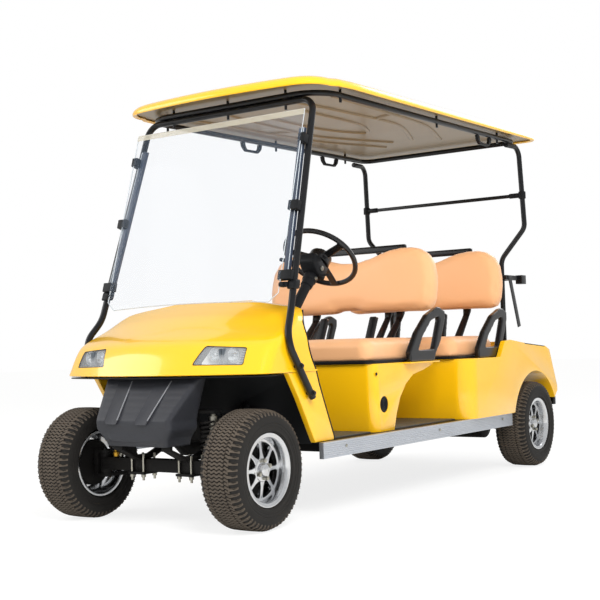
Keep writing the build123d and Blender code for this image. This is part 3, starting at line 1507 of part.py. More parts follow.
def make_bag_holder():
    """Bag rest behind the rear struts: two arms, a cross tube, end blocks and hanging straps."""
    y = rear(66.0)
    arm_in = REAR_STRUT_X + TUBE_R + GAP
    with BuildPart() as holder:
        for side in (1, -1):
            with Locations((side * (arm_in + 9.0), y + 80.0, HOLDER_Z)):
                Box(18.0, 190.0, 26.0)
            with Locations((side * (arm_in + 19.0), y + 184.0, HOLDER_Z - 8.0)):
                Box(38.0, 60.0, 50.0)
            low = side * (arm_in + 20.0) - STRAP_T / 2
            with BuildSketch(Plane.YZ.offset(low)):
                side_profile((
                    (y + 4.0, HOLDER_Z + 9.0), (y + 44.0, HOLDER_Z + 9.0), (y + 156.0, 768.0), (y + 118.0, 760.0),
                ))
            extrude(amount=STRAP_T)
            with Locations((side * (arm_in + 16.0), y + 24.0, HOLDER_Z)):
                Box(8.0, 40.0, 22.0)
        with BuildSketch(Plane(origin=(-arm_in, y + 160.0, HOLDER_Z), z_dir=(1, 0, 0))):
            Circle(11.0)
        extrude(amount=2 * arm_in)
    save(holder, "bag_holder")


def main():
    """Build every piece and write its file."""
    for wheel in WHEELS:
        make_tyre(*wheel)
        make_rim(*wheel)
    make_front_axle_beam()
    make_knuckle("left", 1)
    make_knuckle("right", -1)
    make_tie_rod()
    make_rear_axle()
    make_drive_motor()
    make_battery_pack()
    make_frame_rails()
    make_crossmembers()
    make_leaf_springs()
    make_dampers()
    make_floor_pan()
    make_toe_board()
    make_floor_mats()
    make_rocker_panels()
    make_steering_wheel()
    make_steering_column()
    make_pedals()
    make_front_cowl()
    make_headlamps()
    make_dashboard()
    make_front_bumper()
    make_nose_tray()
    make_front_seat_base()
    make_rear_body()
    make_bag_well()
    make_rear_bumper()
    make_tail_lamps()
    make_seat_cushion("front", front(FRONT_CUSHION_F))
    make_seat_cushion("rear", rear(REAR_CUSHION_R))
    for name, y_face, low_z, _, _ in BACKS:
        make_seat_back(name, y_face, low_z)
    make_backrest_brackets()
    make_armrests()
    make_roof_panel()
    make_roof_liner()
    make_roof_frame()
    make_front_struts()
    make_rear_struts()
    make_strut_crossbar()
    make_windshield()
    make_windshield_clips()
    make_grab_handles()
    make_bag_holder()


main()
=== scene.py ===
"""Looks of a four-seat golf cart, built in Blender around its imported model.

Every length is in millimetres until MM turns it to metres. The cart faces -Y, +X is its left, where the driver sits,
and the ground is Z = 0. Places along the cart are measured rearwards from its front axle or from its rear axle.
"""

from __future__ import annotations

import logging
import math
from dataclasses import dataclass
from enum import Enum
from typing import Callable, Iterable, Sequence

import bpy
from mathutils import Matrix, Vector

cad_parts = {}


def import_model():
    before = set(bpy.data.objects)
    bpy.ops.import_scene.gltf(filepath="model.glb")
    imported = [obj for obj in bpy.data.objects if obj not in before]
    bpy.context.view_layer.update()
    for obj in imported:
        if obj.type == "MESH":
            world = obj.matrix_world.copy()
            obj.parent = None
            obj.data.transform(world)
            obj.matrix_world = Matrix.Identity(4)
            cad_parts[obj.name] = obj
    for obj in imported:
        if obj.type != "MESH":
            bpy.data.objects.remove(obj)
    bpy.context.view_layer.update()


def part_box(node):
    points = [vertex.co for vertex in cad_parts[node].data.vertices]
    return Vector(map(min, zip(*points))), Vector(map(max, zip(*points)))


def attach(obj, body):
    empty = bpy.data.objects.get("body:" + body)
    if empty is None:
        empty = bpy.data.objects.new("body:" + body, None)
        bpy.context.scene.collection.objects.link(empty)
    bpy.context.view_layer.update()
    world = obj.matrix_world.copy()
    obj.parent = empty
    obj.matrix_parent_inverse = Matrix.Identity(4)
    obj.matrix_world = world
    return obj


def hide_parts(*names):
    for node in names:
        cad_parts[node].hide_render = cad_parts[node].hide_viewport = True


LOG = logging.getLogger("golf_cart")
MM = 0.001
METRE = 1000.0  # millimetres, to turn a pattern's size to a texture's scale
MERGE = 0.00002  # metres: points nearer than this become one
SEAM = 0.00005  # metres: the same, along a sheet's closing seam
FRONT_AXLE_Y = -1261.5
REAR_AXLE_Y = 1152.5
AXLE_Z = 229.5
ROOT = "cart"
SIDES = ((1, "left"), (-1, "right"))
MIRROR = Matrix.Scale(-1, 4, (1, 0, 0))

Point = tuple[float, float, float]
Place = tuple[float, float]


# ---------------------------------------------------------------- places and small geometry
def from_front(place: float) -> float:
    """Y in millimetres of a place measured rearwards from the front axle."""
    return FRONT_AXLE_Y + place


def from_rear(place: float) -> float:
    """Y in millimetres of a place measured rearwards from the rear axle."""
    return REAR_AXLE_Y + place


def metres(point: Sequence[float]) -> Vector:
    """Turn a point in millimetres to a vector in metres."""
    return Vector(point) * MM


def shift(point: Sequence[float]) -> Matrix:
    """Give the move by a distance in millimetres."""
    return Matrix.Translation(metres(point))


def steps_between(low: float, high: float, count: int) -> list[float]:
    """Give evenly spaced values with both ends."""
    return [low + (high - low) * n / (count - 1) for n in range(count)]


def deselect() -> None:
    """Leave edit mode and deselect every object."""
    if bpy.context.mode != "OBJECT":
        bpy.ops.object.mode_set(mode="OBJECT")
    bpy.ops.object.select_all(action="DESELECT")


def activate(*pieces: bpy.types.Object) -> bpy.types.Object:
    """Select only these objects and make the first one active.

    Args:
        pieces: the objects to select.

    Returns:
        The first object.
    """
    deselect()
    for piece in pieces:
        piece.select_set(True)
    bpy.context.view_layer.objects.active = pieces[0]
    return pieces[0]


def settle(piece: bpy.types.Object) -> bpy.types.Object:
    """Write a piece's place, turn and size into its mesh, so that its object sits at the origin."""
    activate(piece)
    bpy.ops.object.transform_apply(location=True, rotation=True, scale=True)
    return piece


def named(piece: bpy.types.Object, name: str) -> bpy.types.Object:
    """Give a piece and its mesh the same name."""
    piece.name = name
    piece.data.name = name
    return piece


def added(name: str) -> bpy.types.Object:
    """Name the primitive that an operator has just added, and settle it."""
    return settle(named(bpy.context.active_object, name))


def face_outwards() -> None:
    """Turn every face of the mesh in edit mode outwards."""
    bpy.ops.mesh.select_all(action="SELECT")
    bpy.ops.mesh.normals_make_consistent(inside=False)


def block(name: str, low: Point, high: Point) -> bpy.types.Object:
    """Add a block between two corners in millimetres.

    Args:
        name: the piece's name.
        low: its lowest corner.
        high: its highest corner.

    Returns:
        The new object.
    """
    deselect()
    size = [(b - a) * MM for a, b in zip(low, high)]
    middle = [(a + b) / 2 * MM for a, b in zip(low, high)]
    bpy.ops.mesh.primitive_cube_add(size=1.0, location=middle, scale=size)
    return added(name)


def drum(name: str, start: Point, end: Point, radius: float, sides: int = 24) -> bpy.types.Object:
    """Add a round bar between two points in millimetres.

    Args:
        name: the piece's name.
        start: centre of one end.
        end: centre of the other end.
        radius: the bar's radius.
        sides: how many flat sides stand for the round.

    Returns:
        The new object.
    """
    deselect()
    a, b = metres(start), metres(end)
    run = b - a
    turn = run.to_track_quat("Z", "Y").to_euler()
    bpy.ops.mesh.primitive_cylinder_add(
        vertices=sides, radius=radius * MM, depth=run.length, location=(a + b) / 2, rotation=turn
    )
    return added(name)


def slab(name: str, outline: Sequence[Point], depth: Point) -> bpy.types.Object:
    """Add a flat outline and pull it through a depth.

    Args:
        name: the piece's name.
        outline: corners in order, in millimetres.
        depth: how far and which way the outline is pulled, in millimetres.

    Returns:
        The new object.
    """
    deselect()
    bpy.ops.mesh.primitive_circle_add(vertices=len(outline), radius=1.0, fill_type="NGON")
    piece = bpy.context.active_object
    for vertex, corner in zip(piece.data.vertices, outline):
        vertex.co = metres(corner)
    bpy.ops.object.mode_set(mode="EDIT")
    bpy.ops.mesh.select_all(action="SELECT")
    bpy.ops.mesh.extrude_region_move(TRANSFORM_OT_translate={"value": metres(depth)})
    face_outwards()
    bpy.ops.object.mode_set(mode="OBJECT")
    return added(name)


def side_slab(name: str, outline: Sequence[Place], x_low: float, x_high: float) -> bpy.types.Object:
    """Add a slab whose outline lies in the side view: (y, z) corners pulled along X."""
    return slab(name, [(x_low, y, z) for y, z in outline], (x_high - x_low, 0.0, 0.0))


def tube(name: str, route: Sequence[Point], radius: float, closed: bool = False,
         smooth: bool = True, sides: int = 4) -> bpy.types.Object:
    """Add a round tube along a route.

    Args:
        name: the piece's name.
        route: points in millimetres, control points where the route is smooth.
        radius: the tube's radius.
        closed: whether the route runs back to its start.
        smooth: a smooth curve instead of straight runs.
        sides: the round's resolution.

    Returns:
        The new mesh object.
    """
    deselect()
    curve = bpy.data.curves.new(name, "CURVE")
    curve.dimensions = "3D"
    curve.bevel_depth = radius * MM
    curve.bevel_resolution = sides
    curve.use_fill_caps = not closed
    spline = curve.splines.new("NURBS" if smooth else "POLY")
    spline.points.add(len(route) - 1)
    for point, place in zip(spline.points, route):
        point.co = (*metres(place), 1.0)
    spline.use_cyclic_u = closed
    if smooth:
        spline.order_u = 3
        spline.use_endpoint_u = not closed
        spline.resolution_u = 10
    piece = bpy.data.objects.new(name, curve)
    bpy.context.scene.collection.objects.link(piece)
    activate(piece)
    bpy.ops.object.convert(target="MESH")
    return added(name)


def add_modifier(piece: bpy.types.Object, kind: str, **settings: object) -> bpy.types.Object:
    """Add a modifier with its settings and apply it.

    Args:
        piece: the object it changes.
        kind: Blender's name for the modifier's type.
        settings: values for the modifier's properties.

    Returns:
        The same object.
    """
    activate(piece)
    modifier = piece.modifiers.new(kind.title(), kind)
    for key, value in settings.items():
        setattr(modifier, key, value)
    bpy.ops.object.modifier_apply(modifier=modifier.name)
    return piece


def bevel(piece: bpy.types.Object, width: float, segments: int = 3, angle: float = 32.0) -> bpy.types.Object:
    """Round every edge sharper than an angle in degrees, by a width in millimetres."""
    return add_modifier(
        piece, "BEVEL", width=width * MM, segments=segments, limit_method="ANGLE",
        angle_limit=math.radians(angle), harden_normals=False, use_clamp_overlap=True,
    )


def subdivide(piece: bpy.types.Object, levels: int = 2) -> bpy.types.Object:
    """Smooth a piece as a subdivision surface."""
    return add_modifier(piece, "SUBSURF", levels=levels, render_levels=levels)


def soften(piece: bpy.types.Object, voxel: float, rounds: int) -> bpy.types.Object:
    """Remesh a piece in voxels of a size in millimetres and smooth it, which rounds all its edges."""
    add_modifier(piece, "REMESH", mode="VOXEL", voxel_size=voxel * MM)
    return add_modifier(piece, "SMOOTH", factor=0.6, iterations=rounds)


def thicken(piece: bpy.types.Object, thickness: float) -> bpy.types.Object:
    """Give a sheet its wall thickness in millimetres, inwards."""
    return add_modifier(piece, "SOLIDIFY", thickness=thickness * MM, offset=-1.0, use_even_offset=True)


def smooth(piece: bpy.types.Object, angle: float = 35.0) -> bpy.types.Object:
    """Shade a piece smooth where its faces meet at less than an angle in degrees."""
    activate(piece)
    bpy.ops.object.shade_smooth_by_angle(angle=math.radians(angle))
    return piece


def join(name: str, pieces: Sequence[bpy.types.Object]) -> bpy.types.Object:
    """Join pieces into one object.

    Args:
        name: the new object's name.
        pieces: the pieces, of which the first takes in the others.

    Returns:
        The joined object.
    """
    activate(*pieces)
    if len(pieces) > 1:
        bpy.ops.object.join()
    return named(bpy.context.active_object, name)


def moved(piece: bpy.types.Object, *moves: Matrix) -> bpy.types.Object:
    """Move a piece's mesh by matrices, and turn its faces out again after one that mirrors it.

    Args:
        piece: the object whose mesh moves.
        moves: the matrices, in the order in which they act.

    Returns:
        The same object.
    """
    for move in moves:
        piece.data.transform(move)
        if move.determinant() < 0:
            piece.data.flip_normals()
    return piece


def copied(piece: bpy.types.Object, *moves: Matrix) -> bpy.types.Object:
    """Copy a piece with its own mesh, moved by matrices.

    Args:
        piece: the object to copy.
        moves: the matrices, in the order in which they act.

    Returns:
        The copy.
    """
    twin = piece.copy()
    twin.data = piece.data.copy()
    bpy.context.scene.collection.objects.link(twin)
    return moved(twin, *moves)


def ring_of(piece: bpy.types.Object, count: int) -> list[bpy.types.Object]:
    """Repeat a piece evenly round the X axis.

    Args:
        piece: the first of the ring.
        count: how many there are in all.

    Returns:
        The piece and its copies.
    """
    pitch = math.tau / count
    return [piece] + [copied(piece, Matrix.Rotation(pitch * index, 4, "X")) for index in range(1, count)]


def edit(piece: bpy.types.Object, work: Callable[[], None]) -> bpy.types.Object:
    """Run edit-mode work on a piece with all of it selected.

    Args:
        piece: the mesh object.
        work: a function that calls mesh operators.

    Returns:
        The same object.
    """
    activate(piece)
    bpy.ops.object.mode_set(mode="EDIT")
    bpy.ops.mesh.select_mode(type="VERT")
    bpy.ops.mesh.select_all(action="SELECT")
    work()
    bpy.ops.object.mode_set(mode="OBJECT")
    return piece


def cad_copy(node: str, name: str, flat_angle: float = 1.5) -> bpy.types.Object:
    """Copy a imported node's mesh, merge its loose triangles and clear the lines on its flat faces.

    Args:
        node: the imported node's name.
        name: the new piece's name.
        flat_angle: faces that meet at less than this angle in degrees become one.

    Returns:
        The new object.
    """
    source = bpy.data.objects[node]
    piece = bpy.data.objects.new(name, source.data.copy())
    piece.data.name = name
    piece.data.materials.clear()
    bpy.context.scene.collection.objects.link(piece)

    def clean() -> None:
        """Merge the triangles' corners and the flat faces."""
        bpy.ops.mesh.remove_doubles(threshold=MERGE)
        bpy.ops.mesh.dissolve_limited(angle_limit=math.radians(flat_angle))
        face_outwards()

    edit(piece, clean)
    if "custom_normal" in piece.data.attributes:
        piece.data.attributes.remove(piece.data.attributes["custom_normal"])
    return piece


def bevel_edges(piece: bpy.types.Object, chosen: Callable[[Vector, Vector], bool], width: float,
                segments: int) -> bpy.types.Object:
    """Round the edges that a test picks.

    Args:
        piece: the object to shape.
        chosen: tells from an edge's two ends, in metres, whether it is rounded.
        width: how far the round reaches, in millimetres.
        segments: how many flats make the round.

    Returns:
        The same object.
    """
    activate(piece)
    bpy.ops.object.mode_set(mode="EDIT")
    bpy.ops.mesh.select_mode(type="EDGE")
    bpy.ops.mesh.select_all(action="DESELECT")
    bpy.ops.object.mode_set(mode="OBJECT")
    for edge in piece.data.edges:
        edge.select = chosen(*(piece.data.vertices[i].co for i in edge.vertices))
    bpy.ops.object.mode_set(mode="EDIT")
    bpy.ops.mesh.bevel(offset=width * MM, segments=segments, affect="EDGES", clamp_overlap=True)
    bpy.ops.object.mode_set(mode="OBJECT")
    return piece


def round_corners(piece: bpy.types.Object, along: Point, width: float, segments: int) -> bpy.types.Object:
    """Round the edges that run along one direction.

    Args:
        piece: the object to shape.
        along: the direction of the edges, of length 1.
        width: how far the round reaches, in millimetres.
        segments: how many flats make the round.

    Returns:
        The same object.
    """
    def runs_along(a: Vector, b: Vector) -> bool:
        """Tell whether an edge lies within about 6 degrees of the direction."""
        run = b - a
        return run.length > 1e-6 and abs(run.normalized().dot(Vector(along))) > 0.995

    return bevel_edges(piece, runs_along, width, segments)


def grid_sheet(name: str, rows: Sequence[Sequence[Point]], wrap: bool = False) -> bpy.types.Object:
    """Add a grid and lay its crossings on rows of points.

    Args:
        name: the piece's name.
        rows: rows of equally many points in millimetres.
        wrap: whether each row closes on itself.

    Returns:
        The new sheet.
    """
    deselect()
    across, along = len(rows[0]), len(rows)
    bpy.ops.mesh.primitive_grid_add(x_subdivisions=across - 1, y_subdivisions=along - 1, size=1.0)
    piece = bpy.context.active_object
    for index, vertex in enumerate(piece.data.vertices):
        vertex.co = metres(rows[index // across][index % across])
    if wrap:
        edit(piece, lambda: bpy.ops.mesh.remove_doubles(threshold=SEAM))
    return added(name)


# ---------------------------------------------------------------- finishes
def linear(colour: str) -> tuple[float, float, float, float]:
    """Turn an sRGB hex colour to the linear values that shaders use."""
    channels = [int(colour[i:i + 2], 16) / 255 for i in (1, 3, 5)]
    return (*[c / 12.92 if c <= 0.04045 else ((c + 0.055) / 1.055) ** 2.4 for c in channels], 1.0)


def add_node(tree: bpy.types.NodeTree, kind: str, settings: dict[str, object] | None = None,
             links: dict[str, bpy.types.NodeSocket] | None = None) -> bpy.types.Node:
    """Add a shader node with its settings and links.

    Args:
        tree: the node tree.
        kind: Blender's name for the node's type.
        settings: input values by socket name, or properties by attribute name.
        links: output sockets to join to inputs by name.

    Returns:
        The new node.
    """
    node = tree.nodes.new(kind)
    for key, value in (settings or {}).items():
        if key in node.inputs:
            node.inputs[key].default_value = value
        else:
            setattr(node, key, value)
    for key, socket in (links or {}).items():
        tree.links.new(socket, node.inputs[int(key) if key.isdigit() else key])
    return node


class Texture(Enum):
    """How a surface was made, which gives its fine relief."""

    SMOOTH = "smooth"
    GRAIN = "grain"
    ORANGE_PEEL = "orange peel"
    LEATHER = "leather"
    BRUSHED = "brushed"
    CHEQUER = "chequer"


# A Mix node's two colour inputs and its colour output, by number.
MIX_A, MIX_B, MIX_RESULT = 6, 7, 2
# How far from a leather cell's border its crease reaches, as a share of the cell.
CREASE = 0.25
# Where a round floor stud's side begins and where its flat top begins, as shares of the stud's pitch.
STUD_FOOT, STUD_TOP = 0.42, 0.22


@dataclass(frozen=True)
class Finish:
    """A surface finish: its colours, its gloss and the relief that its making left.

    Colours are sRGB hex values. grain, relief and patch are the relief's size, the relief's depth and the size of the
    patches in which the colour and the gloss vary, in millimetres.
    """

    name: str
    colour: str
    second: str
    roughness: float
    texture: Texture = Texture.SMOOTH
    grain: float = 1.0
    relief: float = 0.05
    patch: float = 220.0
    rough_spread: float = 0.06
    metallic: float = 0.0
    coat: float = 0.0
    coat_roughness: float = 0.08
    sheen: float = 0.0
    ior: float = 1.5
    alpha: float = 1.0
    streak: Point = (1.0, 1.0, 1.0)

    def build(self) -> bpy.types.Material:
        """Make the material.

        Returns:
            A node material that reads Object coordinates.
        """
        material = bpy.data.materials.new(self.name)
        material.use_nodes = True
        tree = material.node_tree
        shader = tree.nodes["Principled BSDF"]
        values = {"Metallic": self.metallic, "Coat Weight": self.coat, "Coat Roughness": self.coat_roughness,
                  "Sheen Weight": self.sheen, "Alpha": self.alpha}
        if not self.metallic:
            values["IOR"] = self.ior
        for socket, value in values.items():
            shader.inputs[socket].default_value = value
        place = add_node(tree, "ShaderNodeTexCoord").outputs["Object"]
        patches = add_node(tree, "ShaderNodeTexNoise", {"Scale": METRE / self.patch, "Detail": 4.0}, {"Vector": place})
        mix = add_node(tree, "ShaderNodeMix", {"data_type": "RGBA"}, {"0": patches.outputs["Fac"]})
        mix.inputs[MIX_A].default_value = linear(self.colour)
        mix.inputs[MIX_B].default_value = linear(self.second)
        tree.links.new(mix.outputs[MIX_RESULT], shader.inputs["Base Color"])
        spread = add_node(
            tree, "ShaderNodeMapRange",
            {"To Min": max(self.roughness - self.rough_spread, 0.02), "To Max": self.roughness + self.rough_spread},
            {"Value": patches.outputs["Fac"]},
        )
        tree.links.new(spread.outputs["Result"], shader.inputs["Roughness"])
        height = self._relief(tree, place)
        if height is not None:
            bump = add_node(
                tree, "ShaderNodeBump", {"Distance": self.relief * MM, "Strength": 1.0}, {"Height": height}
            )
            tree.links.new(bump.outputs["Normal"], shader.inputs["Normal"])
        return material

    def _relief(self, tree: bpy.types.NodeTree, place: bpy.types.NodeSocket) -> bpy.types.NodeSocket | None:
        """Add the nodes of the fine relief.

        Args:
            tree: the node tree.
            place: the Object coordinates.

        Returns:
            The relief's height, or None on a smooth surface.
        """
        scale = METRE / self.grain
        if self.texture is Texture.SMOOTH:
            return None
        if self.texture is Texture.BRUSHED:
            stretch = add_node(tree, "ShaderNodeMapping", {"Scale": self.streak}, {"Vector": place})
            lines = add_node(
                tree, "ShaderNodeTexNoise", {"Scale": scale, "Detail": 3.0}, {"Vector": stretch.outputs["Vector"]}
            )
            return lines.outputs["Fac"]
        if self.texture is Texture.LEATHER:
            cells = add_node(
                tree, "ShaderNodeTexVoronoi", {"Scale": scale, "feature": "DISTANCE_TO_EDGE"}, {"Vector": place}
            )
            soft = add_node(tree, "ShaderNodeMapRange", {"From Max": CREASE}, {"Value": cells.outputs["Distance"]})
            return soft.outputs["Result"]
        if self.texture is Texture.CHEQUER:
            turn = add_node(
                tree, "ShaderNodeMapping", {"Rotation": (0.0, 0.0, math.radians(45))}, {"Vector": place}
            )
            studs = add_node(
                tree, "ShaderNodeTexVoronoi", {"Scale": scale, "Randomness": 0.0}, {"Vector": turn.outputs["Vector"]}
            )
            shape = add_node(
                tree, "ShaderNodeMapRange", {"From Min": STUD_FOOT, "From Max": STUD_TOP},
                {"Value": studs.outputs["Distance"]},
            )
            return shape.outputs["Result"]
        noise = add_node(tree, "ShaderNodeTexNoise", {"Scale": scale, "Detail": 2.0}, {"Vector": place})
        return noise.outputs["Fac"]


# Body panels: gloss paint sprayed over moulded plastic, with a faint orange peel.
YELLOW = Finish("body_yellow_gloss_paint", "#F8C212", "#F2B40A", 0.24, Texture.ORANGE_PEEL, 6.0, 0.02,
                coat=0.7, coat_roughness=0.05, patch=900.0)
# Moulded ABS in black, with a fine spark-eroded grain that breaks up the highlights.
MOULDED_BLACK = Finish("moulded_abs_black", "#101113", "#18191B", 0.5, Texture.GRAIN, 1.6, 0.06, ior=1.3)
# The armrests and steering wheel are integral-skin foam, smoother and glossier than the moulded parts.
GLOSS_BLACK = Finish("integral_skin_foam_black", "#0D0D0F", "#141416", 0.3, Texture.ORANGE_PEEL, 3.0, 0.02,
                     coat=0.3, coat_roughness=0.18, ior=1.38)
# The lower bumper's plastic is greyer, dusty and coarse.
BUMPER_GREY = Finish("moulded_bumper_charcoal", "#2A2B2F", "#35363B", 0.46, Texture.GRAIN, 2.2, 0.12,
                     patch=120.0, ior=1.36)
# Powder-coated steel tube: satin black with a light orange peel.
POWDER_BLACK = Finish("powder_coated_tube", "#0C0D0F", "#131417", 0.3, Texture.ORANGE_PEEL, 3.0, 0.03,
                      coat=0.25, coat_roughness=0.2, ior=1.3)
# Chassis paint: dull black with road dust in the patches.
CHASSIS = Finish("chassis_dip_black", "#0F0F10", "#211F1D", 0.62, Texture.GRAIN, 4.0, 0.12, patch=90.0, ior=1.25)
# Tyre sidewalls: dark grey moulded rubber with a fine grain.
RUBBER = Finish("tyre_sidewall_rubber", "#1B1A19", "#282624", 0.66, Texture.GRAIN, 2.0, 0.1, patch=60.0, ior=1.3)
# The tread's faces carry pale road dust.
TREAD_DUST = Finish("dusty_tread_rubber", "#4B443D", "#5F564C", 0.85, Texture.GRAIN, 2.6, 0.2, patch=45.0, ior=1.3)
# Machined alloy of the rims: bright, with fine turning marks.
ALLOY = Finish("machined_alloy", "#D9DADC", "#C6C8CB", 0.2, Texture.BRUSHED, 6.0, 0.01, metallic=1.0,
               patch=40.0, streak=(6.0, 1.0, 1.0))
# Anodised aluminium extrusion, with faint lines drawn along its length.
ANODISED = Finish("anodised_extrusion", "#C9CDD4", "#B9BEC6", 0.34, Texture.BRUSHED, 4.0, 0.01, metallic=0.85,
                  patch=260.0, streak=(1.0, 0.04, 1.0))
# Zinc-plated fasteners: grey metal, a little warm and uneven.
STEEL = Finish("zinc_plated_steel", "#B9B6AC", "#9E9A8C", 0.32, Texture.GRAIN, 2.0, 0.02, metallic=1.0)
# Yellow zinc plate on the damper tips: a dull gold.
GOLD_ZINC = Finish("yellow_zinc_plate", "#C59A3C", "#A87E2A", 0.35, Texture.GRAIN, 2.0, 0.02, metallic=1.0)
# Seat vinyl: warm tan, with a fine pebbled grain of about two millimetres and a soft sheen.
VINYL = Finish("seat_vinyl_tan", "#EFB684", "#E9AC76", 0.42, Texture.LEATHER, 2.4, 0.10, patch=500.0,
               sheen=0.15, coat=0.08, coat_roughness=0.35)
# Vacuum-formed ceiling sheet in olive tan, slightly glossy.
CEILING = Finish("formed_ceiling_tan", "#86714B", "#75603A", 0.4, Texture.ORANGE_PEEL, 8.0, 0.04, coat=0.3,
                 coat_roughness=0.2, patch=420.0)
# Moulded floor rubber with raised round studs 22 mm apart.
MAT = Finish("studded_floor_rubber", "#4A4C49", "#3D3F3D", 0.5, Texture.CHEQUER, 22.0, 1.2, patch=160.0)
# Cast acrylic sheet: clear, with a slight blue cast and a sharp reflection.
ACRYLIC = Finish("clear_acrylic", "#7F93AB", "#8C9FB4", 0.04, alpha=0.06, coat=0.5, coat_roughness=0.02,
                 rough_spread=0.01)
# Moulded polycarbonate lens: clear and hard-coated.
LENS = Finish("polycarbonate_lens", "#F8FAFB", "#EEF2F4", 0.05, alpha=0.16, coat=1.0, coat_roughness=0.02,
              rough_spread=0.01)
# Lamp bowls: plastic with a bright metal film.
REFLECTOR = Finish("vacuum_metallised_bowl", "#E3E6E8", "#CFD3D6", 0.14, metallic=1.0, patch=30.0)
# The lamp's white moulded back, with drawn lines that catch the light.
LAMP_WHITE = Finish("lamp_back_white", "#FAFBFB", "#ECEFF0", 0.22, Texture.BRUSHED, 5.0, 0.3, patch=30.0)
# Clear vinyl strip along the windshield's top, yellowed with age.
TOP_STRIP = Finish("clear_edge_strip", "#CFC8B4", "#BDB59E", 0.2, patch=90.0, alpha=0.5)
# Moulded grey dividers inside the lamp.
LAMP_GREY = Finish("lamp_divider_grey", "#4A5158", "#5C646B", 0.3, patch=30.0)
# The bumper's beads: pale lines on the bands' edges, which are a painted highlight.
BEAD_HIGHLIGHT = Finish("painted_bead_highlight", "#77787C", "#8A8B8E", 0.34, patch=40.0)
# Moulded red acrylic of the tail lamps, dark and glossy.
RED_LENS = Finish("tail_lens_red", "#A30F14", "#7E0A0E", 0.12, coat=1.0, coat_roughness=0.03, patch=30.0)
# Extruded rubber channel on the windshield's edges, a bluish grey.
GREY_SLEEVE = Finish("rubber_edge_channel", "#2F3644", "#3D4656", 0.42, Texture.GRAIN, 2.0, 0.04, patch=160.0)
# The acrylic's cut edge and the strips beside the channels as pale lines: a painted highlight.
EDGE_HIGHLIGHT = Finish("painted_edge_highlight", "#D8DEE2", "#C4CCD2", 0.2, patch=60.0, alpha=0.75)


class Paints:
    """Builds each finish once and hands it out."""

    def __init__(self) -> None:
        """Start with no material made."""
        self._made: dict[str, bpy.types.Material] = {}

    def get(self, finish: Finish) -> bpy.types.Material:
        """Give the material of a finish."""
        if finish.name not in self._made:
            self._made[finish.name] = finish.build()
        return self._made[finish.name]


PAINTS = Paints()


def dress(piece: bpy.types.Object, finish: Finish, body: str = ROOT,
          stands_for: Iterable[str] = ()) -> bpy.types.Object:
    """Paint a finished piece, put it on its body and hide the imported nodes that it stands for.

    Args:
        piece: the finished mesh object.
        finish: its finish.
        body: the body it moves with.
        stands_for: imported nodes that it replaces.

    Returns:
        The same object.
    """
    piece.data.materials.clear()
    piece.data.materials.append(PAINTS.get(finish))
    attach(piece, body)
    nodes = list(stands_for)
    if nodes:
        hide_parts(*nodes)
    LOG.info("%s: %d faces on %s", piece.name, len(piece.data.polygons), body)
    return piece


def dress_group(name: str, pieces: Sequence[bpy.types.Object], angle: float, finish: Finish,
                body: str = ROOT, stands_for: Iterable[str] = ()) -> bpy.types.Object:
    """Join pieces, shade them smooth and dress them as one.

    Args:
        name: the new piece's name.
        pieces: the pieces that it is made of.
        angle: faces that meet at less than this angle in degrees are shaded smooth.
        finish: its finish.
        body: the body it moves with.
        stands_for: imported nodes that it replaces.

    Returns:
        The new piece.
    """
    return dress(smooth(join(name, pieces), angle), finish, body, stands_for)


def dress_node(node: str, finish: Finish, edge: float, segments: int, angle: float = 38.0,
               body: str = ROOT) -> bpy.types.Object:
    """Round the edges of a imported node's copy and dress it in the node's place.

    Args:
        node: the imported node.
        finish: its finish.
        edge: the edges' rounding in millimetres.
        segments: how many flats make the round.
        angle: faces that meet at less than this angle in degrees are shaded smooth.
        body: the body it moves with.

    Returns:
        The new piece.
    """
    piece = bevel(cad_copy(node, node + "_dressed"), edge, segments, 30.0)
    return dress(smooth(piece, angle), finish, body, [node])


# ---------------------------------------------------------------- turned shapes and bolts
def turned(name: str, outline: Sequence[Place], steps: int = 96, centre: Point = (0.0, 0.0, 0.0)) -> bpy.types.Object:
    """Spin a closed outline about the X axis.

    Args:
        name: the piece's name.
        outline: (x, radius) corners in millimetres.
        steps: how many flats make the turn.
        centre: where the axis stands, in millimetres.

    Returns:
        The new object.
    """
    deselect()
    bpy.ops.mesh.primitive_circle_add(vertices=len(outline), radius=1.0, fill_type="NOTHING")
    piece = bpy.context.active_object
    for vertex, (x, radius) in zip(piece.data.vertices, outline):
        vertex.co = metres((x, 0.0, radius))

    def spin() -> None:
        """Turn the outline round and close its seam."""
        bpy.ops.mesh.spin(steps=steps, angle=math.tau, center=(0, 0, 0), axis=(1, 0, 0), use_auto_merge=True)
        bpy.ops.mesh.select_all(action="SELECT")
        bpy.ops.mesh.remove_doubles(threshold=MERGE)
        face_outwards()

    return named(moved(edit(piece, spin), shift(centre)), name)


def hex_bolt(name: str, centre: Point, along: Point, across: float, height: float) -> bpy.types.Object:
    """Add a hexagon bolt head with its washer.

    Args:
        name: the piece's name.
        centre: where the head sits, in millimetres.
        along: the direction that it stands out.
        across: its width over the corners.
        height: its height.

    Returns:
        The new object.
    """
    out = Vector(along).normalized()
    start = Vector(centre)
    head = drum(name, tuple(start + out * height * 0.25), tuple(start + out * height), across / 2, 6)
    bevel(head, height * 0.12, 2)
    washer = drum(name + "_washer", tuple(start), tuple(start + out * height * 0.3), across * 0.68, 18)
    bevel(washer, height * 0.08, 1)
    return join(name, [head, washer])


def dome_bolt(name: str, centre: Point, along: Point, radius: float, height: float) -> bpy.types.Object:
    """Add a round-headed bolt.

    Args:
        name: the piece's name.
        centre: where the head sits, in millimetres.
        along: the direction that it stands out.
        radius: the head's radius.
        height: its height.

    Returns:
        The new object.
    """
    out = Vector(along).normalized()
    start = Vector(centre)
    head = drum(name, tuple(start), tuple(start + out * height), radius, 16)
    return bevel(head, height * 0.6, 3, 50.0)


